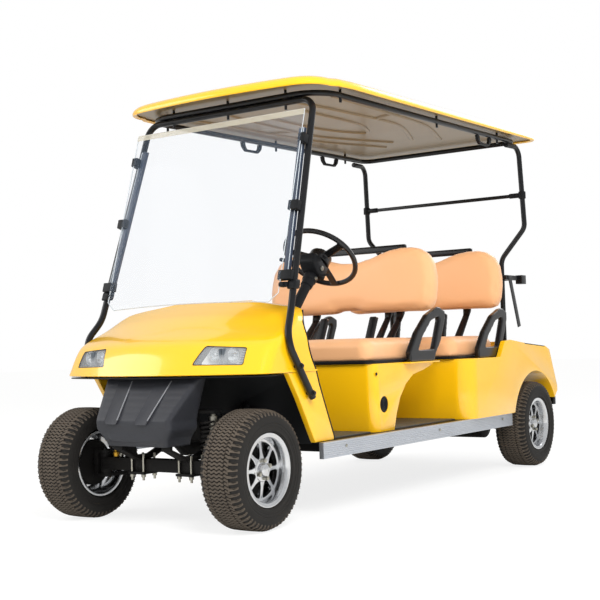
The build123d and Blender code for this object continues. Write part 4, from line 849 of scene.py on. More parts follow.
# ---------------------------------------------------------------- wheels
@dataclass
class Wheel:
    """A pneumatic tyre on a deep-dished alloy rim, turning about X.

    A place in lug_plan is (x, distance round the tyre), one in lug_reach is (x, lowest radius, highest radius) and one
    in spoke_plan is (distance across the spoke, radius). rib_foot and rib_top are shares of the ribs' pitch.
    """

    node: str
    side: int
    track: float
    axle_y: float
    body: str
    crown_r: float = 224.5
    tread_r: float = 229.4
    lugs: int = 60
    lug_thick: float = 10.0
    lug_edge: float = 0.9
    lug_plan: tuple[Place, ...] = ((52.0, -8.6), (80.0, -5.4), (84.0, -4.2), (84.0, 3.6), (80.0, 3.4), (52.0, 3.2))
    lug_reach: tuple[Point, ...] = ((52.0, 222.0, 228.9), (80.0, 205.0, 217.6), (84.0, 196.0, 206.4))
    ribs: int = 100
    rib_runs: tuple[Place, ...] = ((-58.0, -38.0), (-35.5, 35.5), (38.0, 58.0))
    rib_step: float = 2.4
    rib_swing: float = 3.1
    rib_wave: float = 23.6
    rib_start: float = 59.0
    rib_fall: float = 1.6
    rib_foot: float = 0.36
    rib_top: float = 0.27
    rib_depth: float = 3.0
    rim_r: float = 140.2
    spokes: int = 8
    spoke_plan: tuple[Place, ...] = ((-15.0, 38.0), (15.0, 38.0), (8.0, 62.0), (7.0, 94.0), (15.0, 114.0),
                                     (-15.0, 114.0), (-7.0, 94.0), (-8.0, 62.0))
    spoke_back: float = 24.0
    spoke_thick: float = 16.0
    spoke_face: Place = (46.0, 36.0)
    nut_count: int = 4
    nut_r: float = 8.6
    nut_ring: float = 35.0
    nut_ends: Place = (44.0, 62.0)
    nut_turn: float = 0.4

    @property
    def centre(self) -> Point:
        """The wheel's middle in millimetres."""
        return (self.side * self.track / 2, self.axle_y, AXLE_Z)

    def _place(self, piece: bpy.types.Object) -> bpy.types.Object:
        """Mirror the piece if the wheel is on the right, and move it to the wheel's middle."""
        return moved(piece, *([MIRROR] if self.side < 0 else []), shift(self.centre))

    def carcass(self) -> bpy.types.Object:
        """Turn the tyre's casing, with bead, rim-guard rib and fine sidewall rings."""
        half: list[Place] = [
            (0.0, self.crown_r), (46.0, self.crown_r - 0.4), (62.0, self.crown_r - 2.4), (72.0, 219.0), (80.0, 211.5),
            (85.0, 202.0), (87.2, 192.0), (88.0, 184.0), (87.6, 178.0), (86.4, 177.0), (86.2, 174.6), (87.0, 173.6),
            (86.4, 166.0), (85.2, 165.2), (84.8, 163.0), (85.4, 162.0), (83.6, 155.0), (84.6, 152.0), (84.2, 148.5),
            (80.0, 145.2), (72.5, 142.0), (70.6, 134.0), (70.6, 128.0),
        ]
        outline = half + [(-x, r) for x, r in reversed(half[1:])]
        return smooth(turned(self.node + "_casing", outline, 120), 42.0)

    def wavy_ribs(self) -> bpy.types.Object:
        """Model one rib that waves across the tread, grooved before each shoulder, and repeat it round the tyre.

        Returns:
            All ribs as one object.
        """
        pitch = math.tau / self.ribs
        half_w = self.rib_runs[-1][1]
        parts = []
        for low, high in self.rib_runs:
            rows = []
            for x in steps_between(low, high, max(round((high - low) / self.rib_step), 8) + 1):
                middle = self.rib_swing * math.sin(math.tau * (x + self.rib_start) / self.rib_wave) / self.tread_r
                foot = self.crown_r - self.rib_depth
                top = self.tread_r - self.rib_fall * (abs(x) / half_w) ** 2
                section = ((-self.rib_foot, foot), (-self.rib_top, top), (self.rib_top, top), (self.rib_foot, foot))
                turns = [(middle + share * pitch, r) for share, r in section]
                rows.append([(x, r * math.sin(turn), r * math.cos(turn)) for turn, r in turns])
            parts.append(grid_sheet(self.node + "_rib", rows))
        rib = edit(join(self.node + "_rib", parts), face_outwards)
        return join(self.node + "_ribs", ring_of(rib, self.ribs))

    def shoulder_lugs(self) -> bpy.types.Object:
        """Model one slanted shoulder lug and repeat it round both shoulders.

        Returns:
            All lugs as one object.
        """
        lug = slab(self.node + "_lug", [(x, y, 0) for x, y in self.lug_plan], (0, 0, self.lug_thick))
        reach = {x: (low, high) for x, low, high in self.lug_reach}
        for vertex in lug.data.vertices:
            low, high = reach[round(vertex.co.x / MM, 1)]
            vertex.co.z = (high if vertex.co.z > self.lug_thick * MM / 2 else low) * MM
        bevel(lug, self.lug_edge, 1, 60.0)
        half = join(self.node + "_lugs", ring_of(lug, self.lugs))
        other = copied(half, Matrix.Rotation(math.pi / self.lugs, 4, "X") @ MIRROR)
        return join(self.node + "_lugs", [half, other])

    def tyre(self) -> None:
        """Build the tyre's casing and its tread, and dress them."""
        dress(self._place(self.carcass()), RUBBER, self.body, [self.node])
        tread = self._place(join(self.node + "_tread", [self.shoulder_lugs(), self.wavy_ribs()]))
        dress(smooth(tread, 38.0), TREAD_DUST, self.body)

    def barrel(self) -> bpy.types.Object:
        """Turn the rim's barrel, with its rolled outer lip and drop centre."""
        r = self.rim_r
        outline: list[Place] = [
            (77.0, r - 1.0), (76.2, r), (72.0, r), (70.9, r - 4), (70.0, 128.4), (66.0, 127.6), (44.0, 127.0),
            (32.0, 118.0), (-30.0, 118.0), (-44.0, 127.0), (-66.0, 127.6), (-70.2, 128.4), (-71.0, r - 2),
            (-76.5, r - 1), (-77.0, r - 5), (-73.0, 124.0), (-46.0, 122.0), (-32.0, 112.5), (30.0, 112.5),
            (38.0, 115.5), (50.0, 118.5), (70.0, 121.0), (74.0, 124.0), (75.4, 129.0), (76.8, r - 5),
        ]
        return smooth(turned(self.node + "_barrel", outline, 96), 30.0)

    def spider(self) -> list[bpy.types.Object]:
        """Model one tapered spoke and repeat it, with the ring that ties the spokes to the barrel.

        Returns:
            The spokes, the ring, the boss and the centre cap.
        """
        face, tip_face = self.spoke_face
        foot_r, tip_r = min(r for _, r in self.spoke_plan), max(r for _, r in self.spoke_plan)
        plan = [(self.spoke_back, y, r) for y, r in self.spoke_plan]
        spoke = slab(self.node + "_spoke", plan, (self.spoke_thick, 0, 0))
        for vertex in spoke.data.vertices:
            if vertex.co.x > (self.spoke_back + self.spoke_thick / 2) * MM:
                share = (vertex.co.z / MM - foot_r) / (tip_r - foot_r)
                vertex.co.x = (face + (tip_face - face) * share) * MM
        bevel(spoke, 2.4, 3, 40.0)
        ring = turned(
            self.node + "_tie", [(24.0, 106.0), (37.0, 107.0), (39.0, 114.0), (39.0, 119.0), (24.0, 119.0)], 96
        )
        hub = turned(
            self.node + "_boss",
            [(8.0, 24.0), (8.0, 45.0), (26.0, 46.0), (44.0, 46.0), (48.0, 43.0), (48.5, 34.0), (48.5, 24.0)], 64,
        )
        cap = turned(
            self.node + "_cap",
            [(30.0, 0.0), (30.0, 25.0), (58.0, 25.0), (62.0, 22.0), (63.0, 17.0), (64.5, 12.0), (65.0, 0.0)], 64,
        )
        spokes = join(self.node + "_spider", ring_of(spoke, self.spokes))
        return [spokes, smooth(ring, 30.0), smooth(hub, 30.0), smooth(cap, 40.0)]

    def nuts(self) -> list[bpy.types.Object]:
        """Model one wheel nut and set three more round the hub."""
        low, high = ((x, 0, self.nut_ring) for x in self.nut_ends)
        nut = bevel(drum(self.node + "_nut", low, high, self.nut_r, 6), 1.6, 3)
        turns = [math.tau * n / self.nut_count + self.nut_turn for n in range(1, self.nut_count)]
        return [copied(nut, Matrix.Rotation(turn, 4, "X")) for turn in turns] + [nut]

    def backing(self) -> bpy.types.Object:
        """Turn the brake drum that shows dark through the rim's windows."""
        outline = [(-34.0, 0.0), (-34.0, 92.0), (-30.0, 95.0), (4.0, 95.0), (8.0, 91.0), (8.0, 0.0)]
        return smooth(turned(self.node + "_drum", outline, 64), 30.0)

    def rim(self) -> None:
        """Build the rim with its nuts and the brake drum behind it, and dress them."""
        node = self.node.replace("tyre", "rim")
        shell = join(node + "_alloy", [self.barrel(), *self.spider()])
        dress(self._place(shell), ALLOY, self.body, [node])
        nuts = join(node + "_nuts", self.nuts())
        dress(self._place(smooth(nuts)), STEEL, self.body)
        dress(self._place(self.backing()), CHASSIS, self.body)

    def build(self) -> None:
        """Build the whole wheel."""
        self.tyre()
        self.rim()


# ---------------------------------------------------------------- running gear
@dataclass
class RunningGear:
    """The steel underneath: frame, axles, springs, knuckles, motor and battery pack."""

    finishes: tuple[tuple[str, Finish, str, float], ...] = (
        ("front_axle_beam", CHASSIS, "chassis_black", 2.5), ("rear_axle", CHASSIS, "chassis_black", 2.5),
        ("frame_rails", CHASSIS, "chassis_black", 3.0), ("frame_crossmembers", CHASSIS, "chassis_black", 1.5),
        ("leaf_springs", CHASSIS, "chassis_black", 1.0), ("dampers", STEEL, "chassis_black", 1.0),
        ("drive_motor", CHASSIS, "motor_grey", 4.0), ("battery_pack", MOULDED_BLACK, "battery_black", 8.0),
        ("floor_pan", MOULDED_BLACK, "floor_black", 1.5), ("toe_board", MOULDED_BLACK, "floor_black", 1.5),
        ("nose_tray", MOULDED_BLACK, "moulded_black", 1.5), ("pedals", CHASSIS, "chassis_black", 1.5),
        ("bag_well", MOULDED_BLACK, "moulded_black", 2.5), ("rear_bumper", MOULDED_BLACK, "moulded_black", 3.0),
    )
    moving: tuple[tuple[str, Finish], ...] = (
        ("knuckle_left", CHASSIS), ("knuckle_right", CHASSIS), ("tie_rod", STEEL),
    )
    coil_foot: Point = (245.0, -30.0, 292.0)
    coil_pitch: float = 17.0
    coil_r: float = 27.0
    coil_turns: int = 7
    coil_steps: int = 12
    coil_wire: float = 4.6
    tip_z: float = 262.0
    tip: tuple[Place, ...] = ((0.0, 0.0), (0.0, 12.0), (16.0, 13.0), (20.0, 9.0), (34.0, 8.0), (36.0, 0.0))

    def coil_springs(self) -> None:
        """Wind the coil springs on the front dampers and close them with gold-plated tips."""
        for side, tag in SIDES:
            x, y, low = side * self.coil_foot[0], from_front(self.coil_foot[1]), self.coil_foot[2]
            turns = [k * math.tau / self.coil_steps for k in range(self.coil_turns * self.coil_steps + 1)]
            route = [(x + self.coil_r * math.cos(a), y + self.coil_r * math.sin(a),
                      low + self.coil_pitch * a / math.tau) for a in turns]
            coil = tube(f"front_coil_{tag}", route, self.coil_wire, smooth=False, sides=2)
            dress(smooth(coil, 60.0), CHASSIS)
            tip = turned(f"damper_tip_{tag}", self.tip, 32)
            moved(tip, Matrix.Rotation(math.radians(-90), 4, "Y"), shift((x, y, self.tip_z)))
            dress(smooth(tip), GOLD_ZINC)

    def build(self) -> None:
        """Dress the running gear."""
        for node, finish, slot, edge in self.finishes:
            dress_node(node, finish, edge, 2)
        for node, finish in self.moving:
            dress_node(node, finish, 1.5, 2, body=node)
        self.coil_springs()


# ---------------------------------------------------------------- front of the body
@dataclass(frozen=True)
class NoseRow:
    """One level of the nose: half width, front middle, sag of the front arc, corner radius and rear edge."""

    z: float
    half_w: float
    centre: float
    sag: float
    corner: float
    back: float


def monotone(xs: Sequence[float], ys: Sequence[float], x: float) -> float:
    """Read a smooth curve through points, without overshoot between them.

    Args:
        xs: rising places.
        ys: values there.
        x: where to read it.

    Returns:
        The curve's value.
    """
    gaps = [b - a for a, b in zip(xs, xs[1:])]
    rises = [(b - a) / g for a, b, g in zip(ys, ys[1:], gaps)]
    slopes = [rises[0]]
    for before, after in zip(rises, rises[1:]):
        slopes.append(0.0 if before * after <= 0 else 2 * before * after / (before + after))
    slopes.append(rises[-1])
    index = max(0, min(len(gaps) - 1, sum(1 for place in xs[1:-1] if x >= place)))
    g = gaps[index]
    t = min(max((x - xs[index]) / g, 0.0), 1.0)
    a, b, m, n = ys[index], ys[index + 1], slopes[index] * g, slopes[index + 1] * g
    return a * (1 + 2 * t) * (1 - t) ** 2 + m * t * (1 - t) ** 2 + b * t * t * (3 - 2 * t) + n * t * t * (t - 1)


@dataclass
class Nose:
    """The yellow front cowl with its legs, headlamps, lower bumper and dashboard."""

    rows: tuple[NoseRow, ...] = (
        NoseRow(590.0, 524.0, -150.0, 121.0, 60.0, 314.0),
        NoseRow(703.0, 524.0, -82.0, 120.0, 70.0, 260.0),
        NoseRow(780.0, 503.0, 75.0, 110.0, 50.0, 258.0),
        NoseRow(845.0, 440.0, 215.0, 54.0, 26.0, 334.0),
        NoseRow(885.0, 205.0, 305.0, 4.0, 6.0, 330.0),
    )
    wall: float = 5.0
    roll: tuple[Place, ...] = ((16.0, 598.0), (12.0, 591.5), (6.0, 590.0), (1.5, 592.5))
    roll_from: float = 100.0
    roll_run: float = 60.0
    top_z: float = 887.0
    top_back: float = 330.0
    leg_in: float = 498.0
    leg_out: float = 524.0
    leg_round: float = 6.0
    leg: tuple[Place, ...] = (
        (107.0, 590.0), (123.0, 586.0), (190.0, 487.0), (290.0, 316.0), (297.0, 307.3), (431.0, 307.3),
        (431.0, 322.0), (398.0, 393.0), (333.0, 536.0), (314.0, 590.0),
    )
    trim_levels: tuple[float, ...] = (834.0, 800.0, 770.0, 740.0, 703.0, 650.0, 610.0)
    trim_leg: tuple[Place, ...] = (
        (316.0, 588.0), (334.0, 536.0), (366.0, 465.0), (399.0, 393.0), (431.0, 324.0), (433.0, 309.0),
    )
    lamp_corners: tuple[Place, ...] = ((431.0, 693.0), (262.0, 703.0), (231.0, 629.0), (436.0, 626.0))
    lamp_reach: Place = (-190.0, 150.0)
    lamp_rake: float = 0.6
    lens_gap: float = 1.6
    lens_sink: float = 1.5
    back_sink: float = 52.0
    gasket_w: float = 2.6
    gasket_sink: float = 0.4
    bowls: tuple[Point, ...] = ((375.0, 664.0, 27.0), (300.0, 668.0, 22.0))
    bowl_sink: float = 14.0
    bars: tuple[float, ...] = (334.0, 345.0)
    bar_z: Place = (632.0, 690.0)
    bar_sink: float = 40.0
    step_x: float = 410.0
    step_share: float = 0.82
    step_sink: float = 22.0
    step_z: float = 634.0
    step_pitch: float = 9.0
    step_count: int = 7
    band_top: tuple[Place, ...] = ((-163.8, -92.7), (34.1, 113.6))
    band_low: tuple[Place, ...] = ((-133.2, -64.0), (24.7, 93.2))
    band_y: Place = (-82.0, -205.0)
    band_z: tuple[float, ...] = (576.0, 425.0, 409.0)
    highlight_z: Place = (570.0, 424.0)
    trim_r: float = 4.2
    highlight_r: float = 2.6

    def row_at(self, z: float) -> NoseRow:
        """Give the nose's level at a height."""
        zs = [row.z for row in self.rows]

        def read(size: str) -> float:
            """Read one of the rows' sizes at the height."""
            return monotone(zs, [getattr(row, size) for row in self.rows], z)

        return NoseRow(z, read("half_w"), read("centre"), read("sag"), read("corner"), read("back"))

    def outline(self, row: NoseRow) -> list[Point]:
        """Lay one level's points from the left rear edge round the front to the right rear edge.

        Args:
            row: the level.

        Returns:
            Points in millimetres.
        """
        sag = max(row.sag, 2.0)
        big = (row.half_w ** 2 + sag ** 2) / (2 * sag)
        arc_y = row.centre + big
        corner_x = row.half_w - row.corner
        corner_y = arc_y - math.sqrt((big - row.corner) ** 2 - corner_x ** 2)
        lean = math.atan2(corner_x, arc_y - corner_y)
        half: list[Point] = [(row.half_w, from_front(y), row.z) for y in steps_between(row.back, corner_y, 9)]
        for turn in steps_between(math.pi / 2, lean, 9)[1:]:
            x, y = corner_x + row.corner * math.sin(turn), corner_y - row.corner * math.cos(turn)
            half.append((x, from_front(y), row.z))
        for turn in steps_between(lean, 0.0, 15)[1:]:
            half.append((big * math.sin(turn), from_front(arc_y - big * math.cos(turn)), row.z))
        return half + [(-x, y, z) for x, y, z in reversed(half[:-1])]

    def rolled(self, points: list[Point], inset: float, z: float) -> list[Point]:
        """Pull the lowest level inwards at the front only, as the rolled lower edge does.

        Args:
            points: the lowest level's points.
            inset: how far the front goes in.
            z: the front's height.

        Returns:
            Points in millimetres.
        """
        low = self.rows[0]
        out = []
        for x, y, _ in points:
            share = min(max((from_front(self.roll_from) - y) / self.roll_run, 0.0), 1.0)
            out.append((x * (1 - inset * share / low.half_w), y + inset * share, z if share > 0 else max(z, low.z)))
        return out

    def skin(self) -> bpy.types.Object:
        """Build the nose's shell, which rolls under at the front edge."""
        lowest, top = self.outline(self.rows[0]), self.outline(self.rows[-1])
        back_y = from_front(self.top_back)
        levels = [self.rolled(lowest, inset, z) for inset, z in self.roll]
        levels += [self.outline(self.row_at(z)) for z in steps_between(600.0, 878.0, 34)]
        levels += [top, [(x * 0.99, y + (back_y - y) * 0.5, self.top_z) for x, y, _ in top],
                   [(x * 0.98, back_y, self.top_z) for x, y, _ in top]]
        sheet = edit(grid_sheet("front_cowl_skin", levels), face_outwards)
        foremost = min(sheet.data.polygons, key=lambda face: face.center.y)
        if foremost.normal.y > 0:
            sheet.data.flip_normals()
        return thicken(sheet, self.wall)

    def legs(self) -> list[bpy.types.Object]:
        """Build the cowl's two legs, which run down behind the front wheels to the rockers."""
        left = side_slab("cowl_leg", [(from_front(y), z) for y, z in self.leg], self.leg_in, self.leg_out)
        top = (self.rows[0].z - 1.0) * MM
        bevel_edges(left, lambda a, b: abs(a.x - b.x) < MERGE / 2 and min(a.z, b.z) < top, self.leg_round, 4)
        return [left, copied(left, MIRROR)]

    def lamp_window(self, name: str, side: int, shrink: float, low_y: float, high_y: float) -> bpy.types.Object:
        """Make the slanted block that cuts a headlamp's window.

        Args:
            name: the block's name.
            side: +1 on the left, -1 on the right.
            shrink: how far its corners pull in, in millimetres.
            low_y: its front.
            high_y: its rear.

        Returns:
            The block.
        """
        mid_x = sum(x for x, _ in self.lamp_corners) / 4
        mid_z = sum(z for _, z in self.lamp_corners) / 4
        corners = [
            (side * (x - math.copysign(shrink, x - mid_x)), low_y, z - math.copysign(shrink, z - mid_z))
            for x, z in self.lamp_corners
        ]
        return round_corners(slab(name, corners, (0, high_y - low_y, 0)), (0, 1, 0), 9.0, 4)

    def cut(self, piece: bpy.types.Object, tool: bpy.types.Object, operation: str) -> bpy.types.Object:
        """Cut a piece with a tool, and delete the tool."""
        add_modifier(piece, "BOOLEAN", operation=operation, object=tool, solver="EXACT")
        bpy.data.objects.remove(tool, do_unlink=True)
        return piece

    def face_y(self, x: float, z: float) -> float:
        """Give Y near the lamps' own face, which follows the cowl's lowest arc and leans back with height."""
        low = self.rows[0]
        return from_front(low.centre + low.sag * (x / low.half_w) ** 2) + (z - low.z) * self.lamp_rake

    def lamp_sheets(self, shell: bpy.types.Object, side: int, tag: str) -> list[bpy.types.Object]:
        """Cut a headlamp's lens, its back and its gasket from copies of the cowl, and its window from the cowl.

        Args:
            shell: the cowl's skin.
            side: +1 on the left, -1 on the right.
            tag: the side's name.

        Returns:
            The lens, the back and the gasket.
        """
        low_y, high_y = (from_front(place) for place in self.lamp_reach)
        lens = copied(shell)
        self.cut(lens, self.lamp_window(f"lens_tool_{tag}", side, self.lens_gap, low_y, high_y), "INTERSECT")
        moved(lens, shift((0, self.lens_sink, 0)))
        back = copied(lens, shift((0, self.back_sink, 0)))
        gasket = copied(shell)
        self.cut(gasket, self.lamp_window(f"gasket_{tag}", side, 0.0, low_y, high_y), "INTERSECT")
        core = self.lamp_window(f"gasket_core_{tag}", side, self.gasket_w, low_y - 0.01, high_y + 0.01)
        self.cut(gasket, core, "DIFFERENCE")
        moved(gasket, shift((0, self.gasket_sink, 0)))
        self.cut(shell, self.lamp_window(f"window_tool_{tag}", side, 0.0, low_y, high_y), "DIFFERENCE")
        return [lens, back, gasket]

    def lamp_bowls(self, side: int, tag: str) -> list[bpy.types.Object]:
        """Turn a headlamp's two reflector bowls, each with its bulb."""
        bowls = []
        for x, z, r in self.bowls:
            middle = (side * x, self.face_y(x, z) + self.bowl_sink, z)
            stand = (Matrix.Rotation(math.radians(90), 4, "Z"), shift(middle))
            bowl = turned(f"lamp_bowl_{tag}", [
                (-2.0, r), (6.0, r * 0.92), (18.0, r * 0.66), (26.0, r * 0.3), (28.0, 0.0), (31.0, 0.0),
                (28.0, r * 0.4), (20.0, r * 0.74), (8.0, r), (-2.0, r + 2.5),
            ], 32)
            bulb = turned(f"lamp_bulb_{tag}", [(4.0, 0.0), (6.0, 5.0), (14.0, 6.0), (26.0, 5.0), (26.0, 0.0)], 20)
            bowls += [moved(bowl, *stand), moved(bulb, *stand)]
        return bowls

    def lamp_bars(self, side: int, tag: str) -> list[bpy.types.Object]:
        """Build a headlamp's two upright dividers and the steps beside its outer bowl."""
        low, (low_z, high_z) = self.rows[0], self.bar_z
        bars = []
        for x in self.bars:
            y = self.face_y(x, low.z) + self.bar_sink
            bars.append(block(f"lamp_bar_{tag}", (side * x - 4.0, y, low_z), (side * x + 4.0, y + 30.0, high_z)))
        middle = side * self.step_x
        for row in range(self.step_count):
            z = self.step_z + row * self.step_pitch
            y = self.face_y(self.step_share * low.half_w, z) + self.step_sink
            bars.append(block(f"lamp_step_{tag}", (middle - 16.0, y, z), (middle + 16.0, y + 12.0, z + 4.0)))
        return bars

    def lamps(self, shell: bpy.types.Object) -> None:
        """Cut the headlamp windows in the cowl and fill them with housings, bowls and lenses.

        Args:
            shell: the cowl's skin.
        """
        lenses, backs, gaskets, bowls, bars = [], [], [], [], []
        for side, tag in SIDES:
            for group, piece in zip((lenses, backs, gaskets), self.lamp_sheets(shell, side, tag)):
                group.append(piece)
            bowls += self.lamp_bowls(side, tag)
            bars += self.lamp_bars(side, tag)
        dress_group("headlamp_lenses", lenses, 30.0, LENS, stands_for=["headlamps"])
        dress_group("headlamp_backs", backs, 30.0, LAMP_WHITE)
        dress_group("headlamp_bowls", bowls, 40.0, REFLECTOR)
        dress_group("headlamp_bars", bars, 30.0, LAMP_GREY)
        dress_group("headlamp_gaskets", gaskets, 30.0, MOULDED_BLACK)

    def trim(self) -> None:
        """Run the black rubber trim down the cowl's rear edges."""
        strips = []
        for side, _ in SIDES:
            rows = [self.row_at(z) for z in self.trim_levels]
            route = [(side * (row.half_w - 1.0), from_front(row.back + 1.0), row.z) for row in rows]
            route += [(side * (self.leg_out - 2.0), from_front(y + 1.0), z) for y, z in self.trim_leg]
            strips.append(tube("cowl_edge_trim", route, self.trim_r, sides=2))
        dress_group("cowl_edge_trim", strips, 60.0, MOULDED_BLACK)

    def bumper(self) -> None:
        """Dress the lower bumper and give it its raised bands, with a pale bead on each band's edge as a painted
        highlight.
        """
        body = soften(cad_copy("front_bumper", "front_bumper_dressed"), 5.4, 9)
        dress(smooth(body, 60.0), BUMPER_GREY, ROOT, ["front_bumper"])
        top_y, low_y = (from_front(place) + 5 for place in self.band_y)
        (top_z, low_z, foot_z), (highlight_top, highlight_low) = self.band_z, self.highlight_z
        bands, highlight_beads = [], []
        for (a, b), (c, d) in zip(self.band_top, self.band_low):
            corners = [(a, top_y, top_z), (b, top_y, top_z), (d, low_y, low_z), (d - 8, low_y, foot_z),
                       (c + 8, low_y, foot_z), (c, low_y, low_z)]
            bands.append(bevel(slab("bumper_band", corners, (0, -13.0, -5.0)), 4.0, 3, 30.0))
            # The pale bead along each band's edge is a painted highlight.
            route = [(b + 1, top_y - 12.0, highlight_top), (d + 1, low_y - 12.5, highlight_low)]
            highlight_beads.append(tube("bumper_highlight_bead", route, self.highlight_r, smooth=False, sides=2))
        dress_group("bumper_bands", bands, 35.0, BUMPER_GREY)
        dress_group("bumper_highlight_beads", highlight_beads, 60.0, BEAD_HIGHLIGHT)

    def build(self) -> None:
        """Build the front of the body."""
        shell = self.skin()
        self.lamps(shell)
        dress_group("front_cowl_panel", [shell, *self.legs()], 32.0, YELLOW,
                    stands_for=["front_cowl"])
        self.trim()
        self.bumper()
        dress_node("dashboard", MOULDED_BLACK, 3.0, 2, 40.0)


# ---------------------------------------------------------------- panels, floor and tubes carried over
@dataclass
class Shells:
    """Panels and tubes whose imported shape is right: edges are rounded and finishes given."""

    plain: tuple[tuple[str, Finish, str, float], ...] = (
        ("front_seat_base", YELLOW, "body_yellow", 7.0), ("rear_body", YELLOW, "body_yellow", 9.0),
        ("front_struts", POWDER_BLACK, "tube_black", 0.8), ("rear_struts", POWDER_BLACK, "tube_black", 0.8),
        ("strut_crossbar", POWDER_BLACK, "tube_black", 0.8), ("roof_frame", POWDER_BLACK, "tube_black", 0.8),
        ("bag_holder", POWDER_BLACK, "tube_black", 1.2),
        ("windshield_clips", MOULDED_BLACK, "moulded_black", 2.5), ("rocker_panels", ANODISED, "aluminium_trim", 0.8),
        ("floor_mats", MAT, "mat_rubber", 1.2), ("tail_lamps", RED_LENS, "lamp_red", 4.0),
        ("windshield", ACRYLIC, "clear_sheet", 1.5), ("steering_column", MOULDED_BLACK, "moulded_black", 2.0),
    )

    def build(self) -> None:
        """Dress the carried-over shells."""
        for node, finish, slot, edge in self.plain:
            dress_node(node, finish, edge, 3)


@dataclass
class SoftMoulded:
    """Thick moulded parts whose edges are rounded all over: rests, handles, brackets and the wheel's rim."""

    parts: tuple[tuple[str, Finish, str, str, float, int], ...] = (
        ("armrests", GLOSS_BLACK, "moulded_black", ROOT, 5.2, 6),
        ("grab_handles", MOULDED_BLACK, "moulded_black", ROOT, 2.2, 3),
        ("backrest_brackets", POWDER_BLACK, "tube_black", ROOT, 6.5, 2),
        ("steering_wheel", GLOSS_BLACK, "moulded_black", "steering_wheel", 3.4, 3),
    )

    def build(self) -> None:
        """Round and dress the parts."""
        for node, finish, slot, body, voxel, rounds in self.parts:
            piece = soften(cad_copy(node, node + "_rounded"), voxel, rounds)
            dress(smooth(piece, 60.0), finish, body, [node])


@dataclass
class Steering:
    """The shroud, collar, lever and key switch on the steering column.

    A place on it is given by its distance down the column, its lift off the column and its side step.
    """

    centre: Point = (222.0, from_front(827.0), 1087.0)
    axis: Point = (0.0, -0.674, -0.738)
    rise: Point = (0.0, -0.738, 0.674)
    shroud: tuple[Point, ...] = (
        (44.0, -34.0, -36.0), (44.0, 66.0, -46.0), (52.0, 84.0, -40.0), (96.0, 78.0, -40.0), (118.0, 30.0, -34.0),
        (118.0, -34.0, -30.0),
    )
    shroud_w: float = 84.0
    collar: Place = (112.0, 150.0)
    collar_r: float = 32.0
    lever: tuple[Point, ...] = ((80.0, 40.0, -40.0), (76.0, 52.0, -86.0), (72.0, 66.0, -128.0))
    knob: tuple[Point, Point] = ((72.2, 65.0, -124.0), (70.0, 74.0, -152.0))
    clamp: Point = (132.0, 0.0, 31.0)
    switch: tuple[Point, Point] = ((84.0, 12.0, 44.0), (84.0, 12.0, 54.0))

    def at(self, down: float, lift: float, x: float = 0.0) -> Point:
        """Give a place by its distance down the column, its lift off it and its side step."""
        moves = zip(self.centre, self.axis, self.rise, (x, 0.0, 0.0))
        return tuple(middle + along * down + off * lift + step for middle, along, off, step in moves)

    def build(self) -> None:
        """Build the shroud with its collar and lever, and the clamp bolt and key switch."""
        shroud = slab("column_shroud", [self.at(*place) for place in self.shroud], (self.shroud_w, 0.0, 0.0))
        bevel(shroud, 9.0, 4, 25.0)
        collar = drum("column_collar", self.at(self.collar[0], 0.0), self.at(self.collar[1], 0.0), self.collar_r, 40)
        bevel(collar, 6.0, 3, 40.0)
        lever = tube("direction_lever", [self.at(*place) for place in self.lever], 5.0)
        knob = drum("lever_knob", self.at(*self.knob[0]), self.at(*self.knob[1]), 9.0, 20)
        bevel(knob, 5.0, 4, 40.0)
        clamp = hex_bolt("column_clamp_bolt", self.at(*self.clamp), (1, 0, 0), 13.0, 8.0)
        switch = drum("key_switch", self.at(*self.switch[0]), self.at(*self.switch[1]), 11.0, 24)
        bevel(switch, 2.0, 2, 40.0)
        dress_group("column_shroud_parts", [shroud, collar, lever, knob], 40.0, MOULDED_BLACK)
        dress_group("column_fittings", [clamp, switch], 40.0, STEEL)


